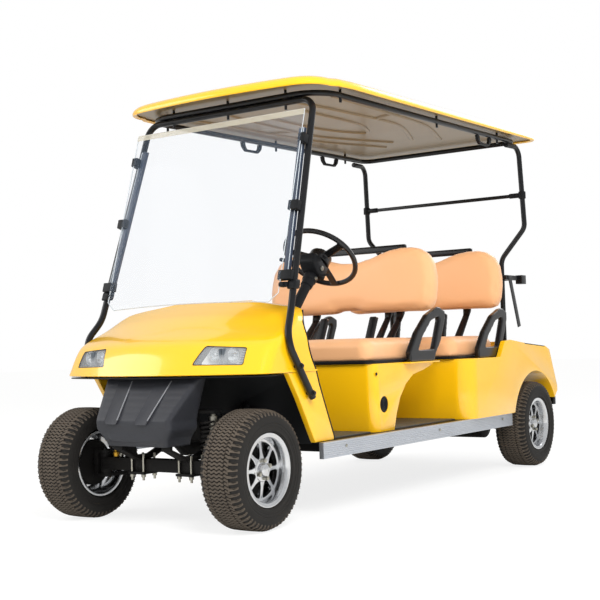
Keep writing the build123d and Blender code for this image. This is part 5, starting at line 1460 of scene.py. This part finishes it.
@dataclass
class WindshieldTrim:
    """Edge channels, painted highlights along the sheet's cut edge and beside the channels, and clamps of the
    windshield.

    The strut's two points are (x, place behind the front axle, z). A bar's box is its lowest and highest offset from
    the strut's middle, across the cart and then along it.
    """

    top: Point = (454.0, 462.5, 1723.7)
    low: Point = (506.5, 173.0, 826.0)
    channel: Place = (1592.0, 980.0)
    channel_box: tuple[float, ...] = (-41.0, -15.0, -26.0, -4.0)
    # Box of the pale strip that paints the highlight beside each channel.
    highlight_strip_box: tuple[float, ...] = (-18.0, -15.0, -27.5, -24.5)
    glass_low: Place = (150.0, 868.0)
    glass_top: Place = (386.0, 1666.0)
    glass_half_w: float = 457.0
    cut: Place = (42.0, 36.0)
    arch: float = 12.0
    strip_w: float = 26.0
    clamps: tuple[float, ...] = (935.0,)
    ring_box: tuple[float, ...] = (-20.0, 20.0, -20.0, 20.0)
    lug_box: tuple[float, ...] = (-46.0, -14.0, -30.0, -8.0)
    knob_x: float = -34.0
    knob_y: Place = (-44.0, -28.0)

    def strut_at(self, z: float) -> Point:
        """Give the strut's middle at a height, as (x, place behind the front axle, z)."""
        share = (self.top[2] - z) / (self.top[2] - self.low[2])
        return (self.top[0] + (self.low[0] - self.top[0]) * share, self.top[1] + (self.low[1] - self.top[1]) * share, z)

    def bar(self, name: str, side: int, box: Sequence[float], heights: Place) -> bpy.types.Object:
        """Run a square bar beside a strut.

        Args:
            name: the bar's name.
            side: +1 on the left, -1 on the right.
            box: its offsets from the strut's middle.
            heights: its top and bottom.

        Returns:
            The bar.
        """
        high, low = self.strut_at(heights[0]), self.strut_at(heights[1])
        x_in, x_out, y_in, y_out = box
        corners = [
            (side * (high[0] + x), from_front(high[1] + y), high[2])
            for x, y in ((x_in, y_in), (x_out, y_in), (x_out, y_out), (x_in, y_out))
        ]
        return slab(name, corners, (side * (low[0] - high[0]), low[1] - high[1], low[2] - high[2]))

    @property
    def glass_height(self) -> float:
        """The sheet's height along its own face."""
        return math.hypot(self.glass_top[1] - self.glass_low[1], self.glass_top[0] - self.glass_low[0])

    def glass_point(self, x: float, up: float) -> Point:
        """Give a point of the sheet's front face.

        Args:
            x: its distance from the cart's middle.
            up: its distance above the lower edge, along the sheet.

        Returns:
            The point in millimetres.
        """
        share = up / self.glass_height
        (low_y, low_z), (top_y, top_z) = self.glass_low, self.glass_top
        return (x, from_front(low_y + (top_y - low_y) * share), low_z + (top_z - low_z) * share)

    def edges(self) -> None:
        """Run a pale line round the sheet's cut edge as a painted highlight, and a clear strip along its top."""
        half_w, height = self.glass_half_w, self.glass_height
        low_x = half_w - self.cut[0]
        route = [self.glass_point(x, self.arch * (1 - (x / low_x) ** 2)) for x in steps_between(-low_x, low_x, 13)]
        route += [self.glass_point(x, up) for x, up in (
            (half_w, self.cut[1]), (half_w, height), (-half_w, height), (-half_w, self.cut[1]))]
        # The pale tube just in front of the cut edge is a painted highlight.
        line = tube("sheet_edge_highlight_line", [(x, y + 2.5, z) for x, y, z in route], 2.0, closed=True, smooth=False, sides=2)
        dress(smooth(line, 60.0), EDGE_HIGHLIGHT)
        corners = [self.glass_point(x, height - drop) for x, drop in (
            (-half_w, 0.0), (half_w, 0.0), (half_w, self.strip_w), (-half_w, self.strip_w))]
        strip = slab("sheet_top_strip", [(x, y - 1.5, z) for x, y, z in corners], (0, -1.5, 0))
        dress(smooth(strip, 40.0), TOP_STRIP)

    def clamp(self, side: int, z: float) -> list[bpy.types.Object]:
        """Build one clamp: its ring round the strut, the lug that holds the sheet and the knob that tightens it."""
        x, place, _ = self.strut_at(z)
        knob_x, (knob_front, knob_back) = side * (x + self.knob_x), self.knob_y
        ring = self.bar("strut_clamp", side, self.ring_box, (z + 19.0, z - 19.0))
        lug = self.bar("clamp_lug", side, self.lug_box, (z + 11.0, z - 11.0))
        knob = drum("clamp_knob", (knob_x, from_front(place + knob_front), z),
                    (knob_x, from_front(place + knob_back), z), 11.0, 12)
        return [bevel(ring, 7.0, 4, 40.0), bevel(lug, 4.0, 3, 40.0), bevel(knob, 3.0, 2, 40.0)]

    def build(self) -> None:
        """Build the windshield's trim."""
        sleeves, strips, clamps = [], [], []
        for side, _ in SIDES:
            sleeves.append(bevel(self.bar("edge_channel", side, self.channel_box, self.channel), 4.0, 3, 40.0))
            # Each strip is a pale bar along the channel that paints its highlight.
            strips.append(bevel(self.bar("channel_highlight_strip", side, self.highlight_strip_box, self.channel), 1.0, 2, 40.0))
            for z in self.clamps:
                clamps += self.clamp(side, z)
        dress_group("edge_channels", sleeves, 40.0, GREY_SLEEVE)
        dress_group("edge_channel_highlights", strips, 40.0, EDGE_HIGHLIGHT)
        dress_group("strut_clamps", clamps, 40.0, MOULDED_BLACK)
        self.edges()


@dataclass
class Fittings:
    """Bolts, boards, vents and clamps added to the carried-over panels."""

    rocker_bolts: tuple[float, ...] = (470.0, 1290.0, 1990.0)
    rocker_at: Place = (556.5, 282.0)
    strut_foot: tuple[Place, Place] = ((90.4, 718.0), (256.3, 487.5))
    strut_bolts: tuple[float, ...] = (0.45, 0.92)
    strut_pad: Place = (548.0, 557.0)
    boards: tuple[tuple[str, float, float, float, str], ...] = (
        ("seat_base_board", from_front(764.0), from_front(1280.0), 619.0, "front_seat_lid"),
        ("rear_base_board", from_rear(-840.0), from_rear(-324.0), 617.0, "rear_seat_lid"),
    )
    board_half_w: float = 508.0
    board_low: float = 604.4
    crossbar_z: float = 1495.0
    crossbar_clamp_x: float = 505.0
    crossbar_socket: Place = (430.0, 494.0)
    vent_at: Place = (from_front(862.0), 425.0)
    vent_rings: tuple[float, ...] = (8.0, 17.0, 26.0)
    spring_x: float = 125.0
    plate_z: Place = (194.0, 204.0)
    stud_z: Place = (170.0, 274.0)
    nut_z: Place = (183.0, 194.0)

    def rockers(self) -> None:
        """Put dome-headed bolts on the rockers."""
        x, z = self.rocker_at
        heads = [dome_bolt("rocker_bolt", (side * x, from_front(place), z), (side, 0, 0), 6.5, 3.6)
                 for side, _ in SIDES for place in self.rocker_bolts]
        dress_group("rocker_bolts", heads, 35.0, STEEL)

    def strut_feet(self) -> None:
        """Put a bolt and a round pad at each of the front struts' two fixings."""
        (top_y, top_z), (foot_y, foot_z) = self.strut_foot
        x_in, x_out = self.strut_pad
        heads = []
        for side, _ in SIDES:
            for share in self.strut_bolts:
                y, z = from_front(top_y + (foot_y - top_y) * share), top_z + (foot_z - top_z) * share
                heads.append(hex_bolt("strut_bolt", (side * (x_out - 2.0), y, z), (side, 0, 0), 17.0, 9.0))
                pad = drum("strut_pad", (side * x_in, y, z), (side * x_out, y, z), 13.0, 24)
                heads.append(bevel(pad, 2.5, 2, 40.0))
        dress_group("strut_foot_bolts", heads, 35.0, POWDER_BLACK)

    def seat_bands(self) -> None:
        """Run a black base board under each cushion's edge."""
        for name, front_y, back_y, top_z, body in self.boards:
            half_w = self.board_half_w
            board = block(name, (-half_w, front_y, self.board_low), (half_w, back_y, top_z))
            bevel(round_corners(board, (0, 0, 1), 46.0, 8), 3.0, 3, 50.0)
            dress(smooth(board, 40.0), MOULDED_BLACK, body)

    def crossbar(self) -> None:
        """Clamp the crossbar's ends to the rear struts."""
        z, y = self.crossbar_z, from_rear(52.0)
        x_in, x_out = self.crossbar_socket
        parts = []
        for side, _ in SIDES:
            x = side * self.crossbar_clamp_x
            clamp = drum("bar_clamp", (x, y, z - 20.0), (x, y, z + 20.0), 20.0, 32)
            socket = drum("bar_socket", (side * x_in, y, z), (side * x_out, y, z), 14.0, 28)
            parts += [bevel(clamp, 3.0, 3, 40.0), bevel(socket, 2.5, 2, 40.0)]
        dress_group("crossbar_clamps", parts, 35.0, MOULDED_BLACK)

    def hatch(self) -> None:
        """Close the round hatch in each of the pedestal's sides with a dark ringed vent."""
        y, z = self.vent_at
        parts = []
        for side, _ in SIDES:
            parts.append(drum("pedestal_vent", (side * 506.5, y, z), (side * 509.5, y, z), 35.0, 40))
            for r in self.vent_rings:
                ring = turned("pedestal_vent_ring", [(0.0, r), (2.5, r + 0.6), (2.5, r + 3.4), (0.0, r + 4.0)], 40)
                parts.append(moved(ring, *([MIRROR] if side < 0 else []), shift((side * 509.0, y, z))))
            parts.append(dome_bolt("pedestal_bolt", (side * 511.5, from_front(800.0), 560.0), (side, 0, 0), 7.0, 4.0))
        dress_group("pedestal_vents", parts, 35.0, MOULDED_BLACK)

    def axle_bolts(self) -> None:
        """Clamp the front springs to the axle beam with studs, nuts and plates."""
        (plate_low, plate_top), y = self.plate_z, FRONT_AXLE_Y
        plates, studs = [], []
        for side, _ in SIDES:
            x = side * self.spring_x
            plate = block("spring_plate", (x - 42, y - 44, plate_low), (x + 42, y + 44, plate_top))
            plates.append(bevel(plate, 1.5, 2, 40.0))
            for stud_x in (x - 31.0, x + 31.0):
                for stud_y in (y - 33.0, y + 33.0):
                    low, top = ((stud_x, stud_y, z) for z in self.stud_z)
                    nut_low, nut_top = ((stud_x, stud_y, z) for z in self.nut_z)
                    studs.append(drum("clamp_stud", low, top, 5.0, 16))
                    studs.append(bevel(drum("clamp_nut", nut_low, nut_top, 10.0, 6), 1.2, 2, 40.0))
        dress_group("spring_plates", plates, 40.0, CHASSIS)
        dress_group("spring_studs", studs, 40.0, STEEL)

    def build(self) -> None:
        """Add all fittings."""
        self.axle_bolts()
        self.rockers()
        self.strut_feet()
        self.seat_bands()
        self.crossbar()
        self.hatch()


# ---------------------------------------------------------------- upholstery
@dataclass
class Pad:
    """One padded piece blown up from a slightly smaller form by simulated pressure."""

    node: str
    body: str
    swell: float = 14.0
    voxel: float = 10.0
    start: float = 9.0
    flat_below: float | None = None
    pressure: float = 4.0
    stiffness: float = 25.0
    frames: int = 20

    def form(self) -> bpy.types.Object:
        """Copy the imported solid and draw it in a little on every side.

        Returns:
            The form that the pressure blows up.
        """
        low, high = (Vector(corner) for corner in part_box(self.node))
        middle, half = (low + high) / 2, (high - low) / 2
        piece = cad_copy(self.node, self.node + "_vinyl", 0.5)
        for vertex in piece.data.vertices:
            for axis in range(3):
                share = 1 - self.start * MM / half[axis]
                vertex.co[axis] = middle[axis] + (vertex.co[axis] - middle[axis]) * share
        return piece

    def build(self) -> bpy.types.Object:
        """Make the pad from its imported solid.

        Returns:
            The padded piece.
        """
        piece = self.form()
        add_modifier(piece, "REMESH", mode="VOXEL", voxel_size=self.voxel * MM)
        self._blow_up(piece)
        if self.flat_below is not None:
            for vertex in piece.data.vertices:
                vertex.co.z = max(vertex.co.z, self.flat_below * MM)
        add_modifier(piece, "SMOOTH", factor=0.5, iterations=6)
        subdivide(piece, 1)
        smooth(piece, 60.0)
        dress(piece, VINYL, self.body, [self.node])
        return piece

    def _blow_up(self, piece: bpy.types.Object) -> None:
        """Run the pressure simulation and cap how far each point moves.

        Args:
            piece: the remeshed form.
        """
        start = [vertex.co.copy() for vertex in piece.data.vertices]
        activate(piece)
        modifier = piece.modifiers.new("Cloth", "CLOTH")
        settings = modifier.settings
        settings.quality = 4
        settings.mass = 0.4
        settings.use_pressure = True
        settings.uniform_pressure_force = self.pressure
        settings.tension_stiffness = self.stiffness
        settings.compression_stiffness = self.stiffness
        settings.bending_stiffness = 1.0
        settings.effector_weights.gravity = 0.0
        modifier.collision_settings.use_collision = False
        scene = bpy.context.scene
        for frame in range(1, self.frames + 1):
            scene.frame_set(frame)
        bpy.ops.object.modifier_apply(modifier=modifier.name)
        limit = self.swell * MM
        for vertex, origin in zip(piece.data.vertices, start):
            move = vertex.co - origin
            if move.length > limit:
                vertex.co = origin + move * (limit / move.length)
        scene.frame_set(1)


@dataclass
class BackPad(Pad):
    """A backrest with a rounded hump for each rider and a saddle between them."""

    face_y: float = 0.0
    low_z: float = 0.0
    lean: float = 7.0
    depth: float = 100.0
    waist: float = 150.0
    rim: tuple[Place, ...] = (
        (0.0, 14.0), (62.0, 14.0), (90.0, 3.0), (125.0, 0.0), (300.0, 0.0), (440.0, 3.0), (482.0, 18.0),
        (500.0, 60.0), (506.0, 130.0), (503.0, 200.0), (490.0, 262.0), (462.0, 308.0), (420.0, 338.0),
        (370.0, 353.0), (310.0, 357.0), (250.0, 352.0), (190.0, 338.0), (130.0, 318.0), (70.0, 304.0), (0.0, 300.0),
    )

    def form(self) -> bpy.types.Object:
        """Draw the backrest's outline on its leaning face and pull it to its depth.

        Returns:
            The form that the pressure blows up.
        """
        lean = math.radians(self.lean)
        along, out = Vector((0, math.sin(lean), math.cos(lean))), Vector((0, math.cos(lean), -math.sin(lean)))
        origin = Vector((0, self.face_y, self.low_z))
        points = []
        for x, z in self.rim:
            drawn_in = Vector((max(x - self.start, 0.0), 0, 0))
            points.append(origin + drawn_in + along * (z - self.start if z > self.waist else z + self.start))
        points += [Vector((-p.x, p.y, p.z)) for p in reversed(points[1:-1])]
        piece = slab(self.node + "_vinyl", [tuple(p + out * self.start) for p in points],
                     tuple(out * (self.depth - 2 * self.start)))
        return bevel(piece, 24.0, 4, 50.0)


@dataclass
class Upholstery:
    """The two bench cushions, which lift with their lids, and the two backrests."""

    seat_low: float = 615.0

    def build(self) -> None:
        """Build all four pads."""
        Pad("front_seat_cushion", "front_seat_lid", flat_below=self.seat_low).build()
        Pad("rear_seat_cushion", "rear_seat_lid", flat_below=self.seat_low).build()
        BackPad("front_seat_back", ROOT, face_y=from_front(1378.0), low_z=830.0).build()
        BackPad("rear_seat_back", ROOT, face_y=from_rear(-286.0), low_z=850.0).build()


# ---------------------------------------------------------------- roof
@dataclass
class Roof:
    """The moulded roof shell over its ring of tube."""

    half_l: float = 1136.0
    half_w: float = 560.0
    front_half_w: float = 530.0
    bow: float = 56.0
    corner: float = 60.0
    corner_run: float = 110.0
    taper: float = 240.0
    wall: float = 5.0
    mid_y: float = 190.0
    lip_z: float = 1783.0
    ceiling_inset: float = 16.0
    ceiling_z: Place = (12.0, 20.0)
    rib_r: float = 12.0
    tilt: float = 1.105
    profile: tuple[Place, ...] = (
        (16.0, 6.0), (9.0, 1.5), (4.0, 0.0), (1.2, 2.5), (0.0, 8.0), (0.8, 14.0), (4.5, 22.0), (10.0, 29.0),
        (18.0, 35.5), (34.0, 42.5), (60.0, 48.0), (90.0, 52.0), (140.0, 57.0), (190.0, 60.5), (240.0, 62.5),
        (330.0, 64.5), (430.0, 65.5), (500.0, 66.0),
    )
    ribs: tuple[tuple[Place, ...], ...] = (
        ((196.0, -560.0), (222.0, -410.0), (230.0, -182.0), (242.0, -60.0), (248.0, 173.0), (240.0, 297.0),
         (165.0, 521.0), (60.0, 760.0)),
        ((392.0, -560.0), (372.0, -200.0), (358.0, 153.0), (343.0, 333.0), (308.0, 520.0), (173.0, 880.0)),
        ((248.0, 60.0), (300.0, 32.0), (362.0, 8.0)),
        ((112.0, -400.0), (117.0, -26.0), (108.0, 120.0), (57.0, 300.0), (8.0, 380.0)),
    )

    def outline(self) -> list[Place]:
        """Lay the roof's plan outline, front edge bowed forwards.

        Returns:
            (x, y) points about the roof's middle, in millimetres.
        """
        right: list[Place] = []
        front_y = -self.half_l
        shoulder = front_y + self.bow
        for x in steps_between(0.0, self.front_half_w - self.corner_run, 12):
            right.append((x, front_y + self.bow * (x / self.front_half_w) ** 2 * 0.9))
        end_x, end_y = right[-1]
        for turn in steps_between(0.0, 1.0, 10)[1:]:
            a, b, c = (1 - turn) ** 2, 2 * turn * (1 - turn), turn ** 2
            right.append((a * end_x + b * (self.front_half_w - 2) + c * self.front_half_w,
                          a * end_y + b * (shoulder + 2.0) + c * (shoulder + self.corner_run)))
        for y in steps_between(shoulder + self.corner_run, shoulder + self.taper, 5)[1:]:
            share = (y - shoulder) / self.taper
            right.append((self.front_half_w + (self.half_w - self.front_half_w) * share ** 0.9, y))
        for y in steps_between(shoulder + self.taper, self.half_l - self.corner, 16)[1:]:
            right.append((self.half_w, y))
        for turn in steps_between(0.0, math.pi / 2, 9)[1:]:
            right.append((self.half_w - self.corner * (1 - math.cos(turn)),
                          self.half_l - self.corner * (1 - math.sin(turn))))
        for x in steps_between(self.half_w - self.corner, 0.0, 12)[1:]:
            right.append((x, self.half_l))
        return right + [(-x, y) for x, y in reversed(right[1:-1])]

    def level(self, inset: float, height: float) -> list[Point]:
        """Shrink the outline, lift it and tilt it with the roof.

        Args:
            inset: how far it goes in, in millimetres.
            height: how far it stands over the lip, in millimetres.

        Returns:
            Points in millimetres, of which the last repeats the first.
        """
        out = []
        turn = Matrix.Rotation(math.radians(self.tilt), 3, "X")
        for x, y in self.outline():
            point = turn @ Vector((x * (1 - inset / self.half_w), y * (1 - inset / self.half_l), height))
            out.append((point.x, point.y + self.mid_y, point.z + self.lip_z))
        return out + out[:1]

    def ceiling(self) -> None:
        """Build the formed ceiling panel with its curved ribs."""
        low, high = (self.level(self.ceiling_inset, height)[:-1] for height in self.ceiling_z)
        parts = [slab("ceiling_panel", low, tuple(Vector(high[0]) - Vector(low[0])))]
        slope = math.tan(math.radians(self.tilt))
        for side, _ in SIDES:
            for route in self.ribs:
                points = [(side * x, y, self.lip_z + (y - self.mid_y) * slope + 15.0) for x, y in route]
                parts.append(tube("ceiling_rib", points, self.rib_r))
        dress_group("ceiling_panel", parts, 40.0, CEILING, stands_for=["roof_liner"])

    def close_top(self, sheet: bpy.types.Object, rim: Sequence[Point]) -> None:
        """Fill the flat middle of the roof's top and turn all faces outwards.

        Args:
            sheet: the shell, open at the top.
            rim: the points round the opening, in millimetres.
        """
        edit(sheet, lambda: bpy.ops.mesh.select_all(action="DESELECT"))
        wanted = {tuple(round(c, 2) for c in point) for point in rim}
        for vertex in sheet.data.vertices:
            vertex.select = tuple(round(c / MM, 2) for c in vertex.co) in wanted
        bpy.ops.object.mode_set(mode="EDIT")
        bpy.ops.mesh.edge_face_add()
        face_outwards()
        bpy.ops.object.mode_set(mode="OBJECT")
        highest = max(sheet.data.polygons, key=lambda face: face.center.z)
        if highest.normal.z < 0:
            sheet.data.flip_normals()

    def build(self) -> None:
        """Build the ceiling and the shell."""
        self.ceiling()
        levels = [self.level(inset, height) for inset, height in self.profile]
        sheet = grid_sheet("roof_shell", levels, wrap=True)
        self.close_top(sheet, levels[-1])
        thicken(sheet, self.wall)
        dress(smooth(sheet, 32.0), YELLOW, ROOT, ["roof_panel"])


# ---------------------------------------------------------------- studio
def seen_directly(tree: bpy.types.NodeTree) -> bpy.types.NodeSocket:
    """Add the nodes that tell whether a ray comes from the camera, straight or through something clear.

    Args:
        tree: the node tree.

    Returns:
        A value of 1 where it does, and 0 elsewhere.
    """
    path = add_node(tree, "ShaderNodeLightPath").outputs
    ways = {"0": path["Is Camera Ray"], "1": path["Is Transmission Ray"]}
    return add_node(tree, "ShaderNodeMath", {"operation": "MAXIMUM"}, ways).outputs[0]


@dataclass
class Studio:
    """Camera, floor, lamps and background.

    A lamp is its place, the point it faces, its width in metres and its power in watts.
    """

    camera_at: Point = (3044.53, -4731.25, 695.77)
    azimuth: float = 34.382
    elevation: float = -2.257
    roll: float = -1.675
    lens: float = 68.347
    floor_size: float = 60.0
    floor_white: float = 0.72
    floor_glow: float = 1.12
    sky: float = 0.72
    lamps: tuple[tuple[Point, Point, float, float], ...] = (
        ((3800.0, -3400.0, 3900.0), (0.0, 0.0, 700.0), 2.8, 290.0),
        ((-4200.0, -3600.0, 3000.0), (0.0, 0.0, 700.0), 3.6, 90.0),
        ((600.0, 5200.0, 3800.0), (0.0, 0.0, 900.0), 3.6, 90.0),
    )

    def camera(self) -> None:
        """Stand the camera where it looks slightly up at the cart's front left."""
        a, e, r = (math.radians(v) for v in (self.azimuth, self.elevation, self.roll))
        back = Vector((math.sin(a) * math.cos(e), -math.cos(a) * math.cos(e), math.sin(e)))
        right = (-back).cross(Vector((0, 0, 1))).normalized()
        up = right.cross(-back)
        turned_right = math.cos(r) * right + math.sin(r) * up
        turned_up = -math.sin(r) * right + math.cos(r) * up
        data = bpy.data.cameras.new("studio_camera")
        data.lens, data.sensor_width, data.clip_end = self.lens, 36.0, 60.0
        eye = bpy.data.objects.new("studio_camera", data)
        bpy.context.scene.collection.objects.link(eye)
        turn = Matrix((turned_right, turned_up, back)).transposed().to_4x4()
        eye.matrix_world = Matrix.Translation(metres(self.camera_at)) @ turn
        bpy.context.scene.camera = eye

    def floor(self) -> None:
        """Lay the pale floor, which looks white to the camera and keeps the cart's shadow."""
        deselect()
        bpy.ops.mesh.primitive_plane_add(size=self.floor_size, location=(0, 0, 0))
        piece = bpy.context.active_object
        piece.name = "studio_floor"
        material = bpy.data.materials.new("studio_floor_white")
        material.use_nodes = True
        tree = material.node_tree
        shader = tree.nodes["Principled BSDF"]
        shader.inputs["Base Color"].default_value = linear("#F0F0EE")
        shader.inputs["Roughness"].default_value = 0.9
        share = add_node(tree, "ShaderNodeMath", {"operation": "MULTIPLY"}, {"0": seen_directly(tree)})
        share.inputs[1].default_value = self.floor_white
        glow = add_node(tree, "ShaderNodeEmission", {"Color": (1, 1, 1, 1), "Strength": self.floor_glow})
        mix = add_node(tree, "ShaderNodeMixShader", {}, {"0": share.outputs[0], "1": shader.outputs[0],
                                                         "2": glow.outputs[0]})
        tree.links.new(mix.outputs[0], tree.nodes["Material Output"].inputs["Surface"])
        piece.data.materials.append(material)

    def world(self) -> None:
        """Give a soft white surround that is pure white to the camera."""
        world = bpy.data.worlds.new("studio_surround")
        world.use_nodes = True
        tree = world.node_tree
        tree.nodes.clear()
        soft = add_node(tree, "ShaderNodeBackground", {"Color": (1, 1, 1, 1), "Strength": self.sky})
        white = add_node(tree, "ShaderNodeBackground", {"Color": (1, 1, 1, 1), "Strength": 1.0})
        mix = add_node(tree, "ShaderNodeMixShader", {}, {"0": seen_directly(tree), "1": soft.outputs[0],
                                                         "2": white.outputs[0]})
        add_node(tree, "ShaderNodeOutputWorld", {}, {"Surface": mix.outputs[0]})
        bpy.context.scene.world = world

    def lights(self) -> None:
        """Hang three large soft boxes, of which the first, the strongest, isn't mirrored in gloss."""
        for number, (place, target, size, power) in enumerate(self.lamps):
            name = f"soft_box_{number}"
            data = bpy.data.lights.new(name, "AREA")
            data.shape = "DISK"
            data.size = size
            data.energy = power
            lamp = bpy.data.objects.new(name, data)
            bpy.context.scene.collection.objects.link(lamp)
            lamp.location = metres(place)
            lamp.rotation_euler = (metres(target) - metres(place)).to_track_quat("-Z", "Y").to_euler()
            lamp.visible_glossy = number > 0

    def build(self) -> None:
        """Set the studio up."""
        bpy.context.scene.view_settings.view_transform = "Standard"
        self.camera()
        self.floor()
        self.world()
        self.lights()


WHEELS = (
    Wheel("tyre_front_left", 1, 862.0, FRONT_AXLE_Y, "wheel_front_left"),
    Wheel("tyre_front_right", -1, 862.0, FRONT_AXLE_Y, "wheel_front_right"),
    Wheel("tyre_rear_left", 1, 994.0, REAR_AXLE_Y, "wheel_rear_left"),
    Wheel("tyre_rear_right", -1, 994.0, REAR_AXLE_Y, "wheel_rear_right"),
)


def main() -> None:
    """Build the cart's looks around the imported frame."""
    logging.basicConfig(level=logging.INFO, format="%(message)s")
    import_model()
    Studio().build()
    for wheel in WHEELS:
        wheel.build()
    groups = (
        RunningGear(), Nose(), Shells(), SoftMoulded(), Steering(), WindshieldTrim(), Fittings(), Upholstery(), Roof(),
    )
    for group in groups:
        group.build()
        LOG.info("%s done", type(group).__name__)


if __name__ == "__main__":
    main()
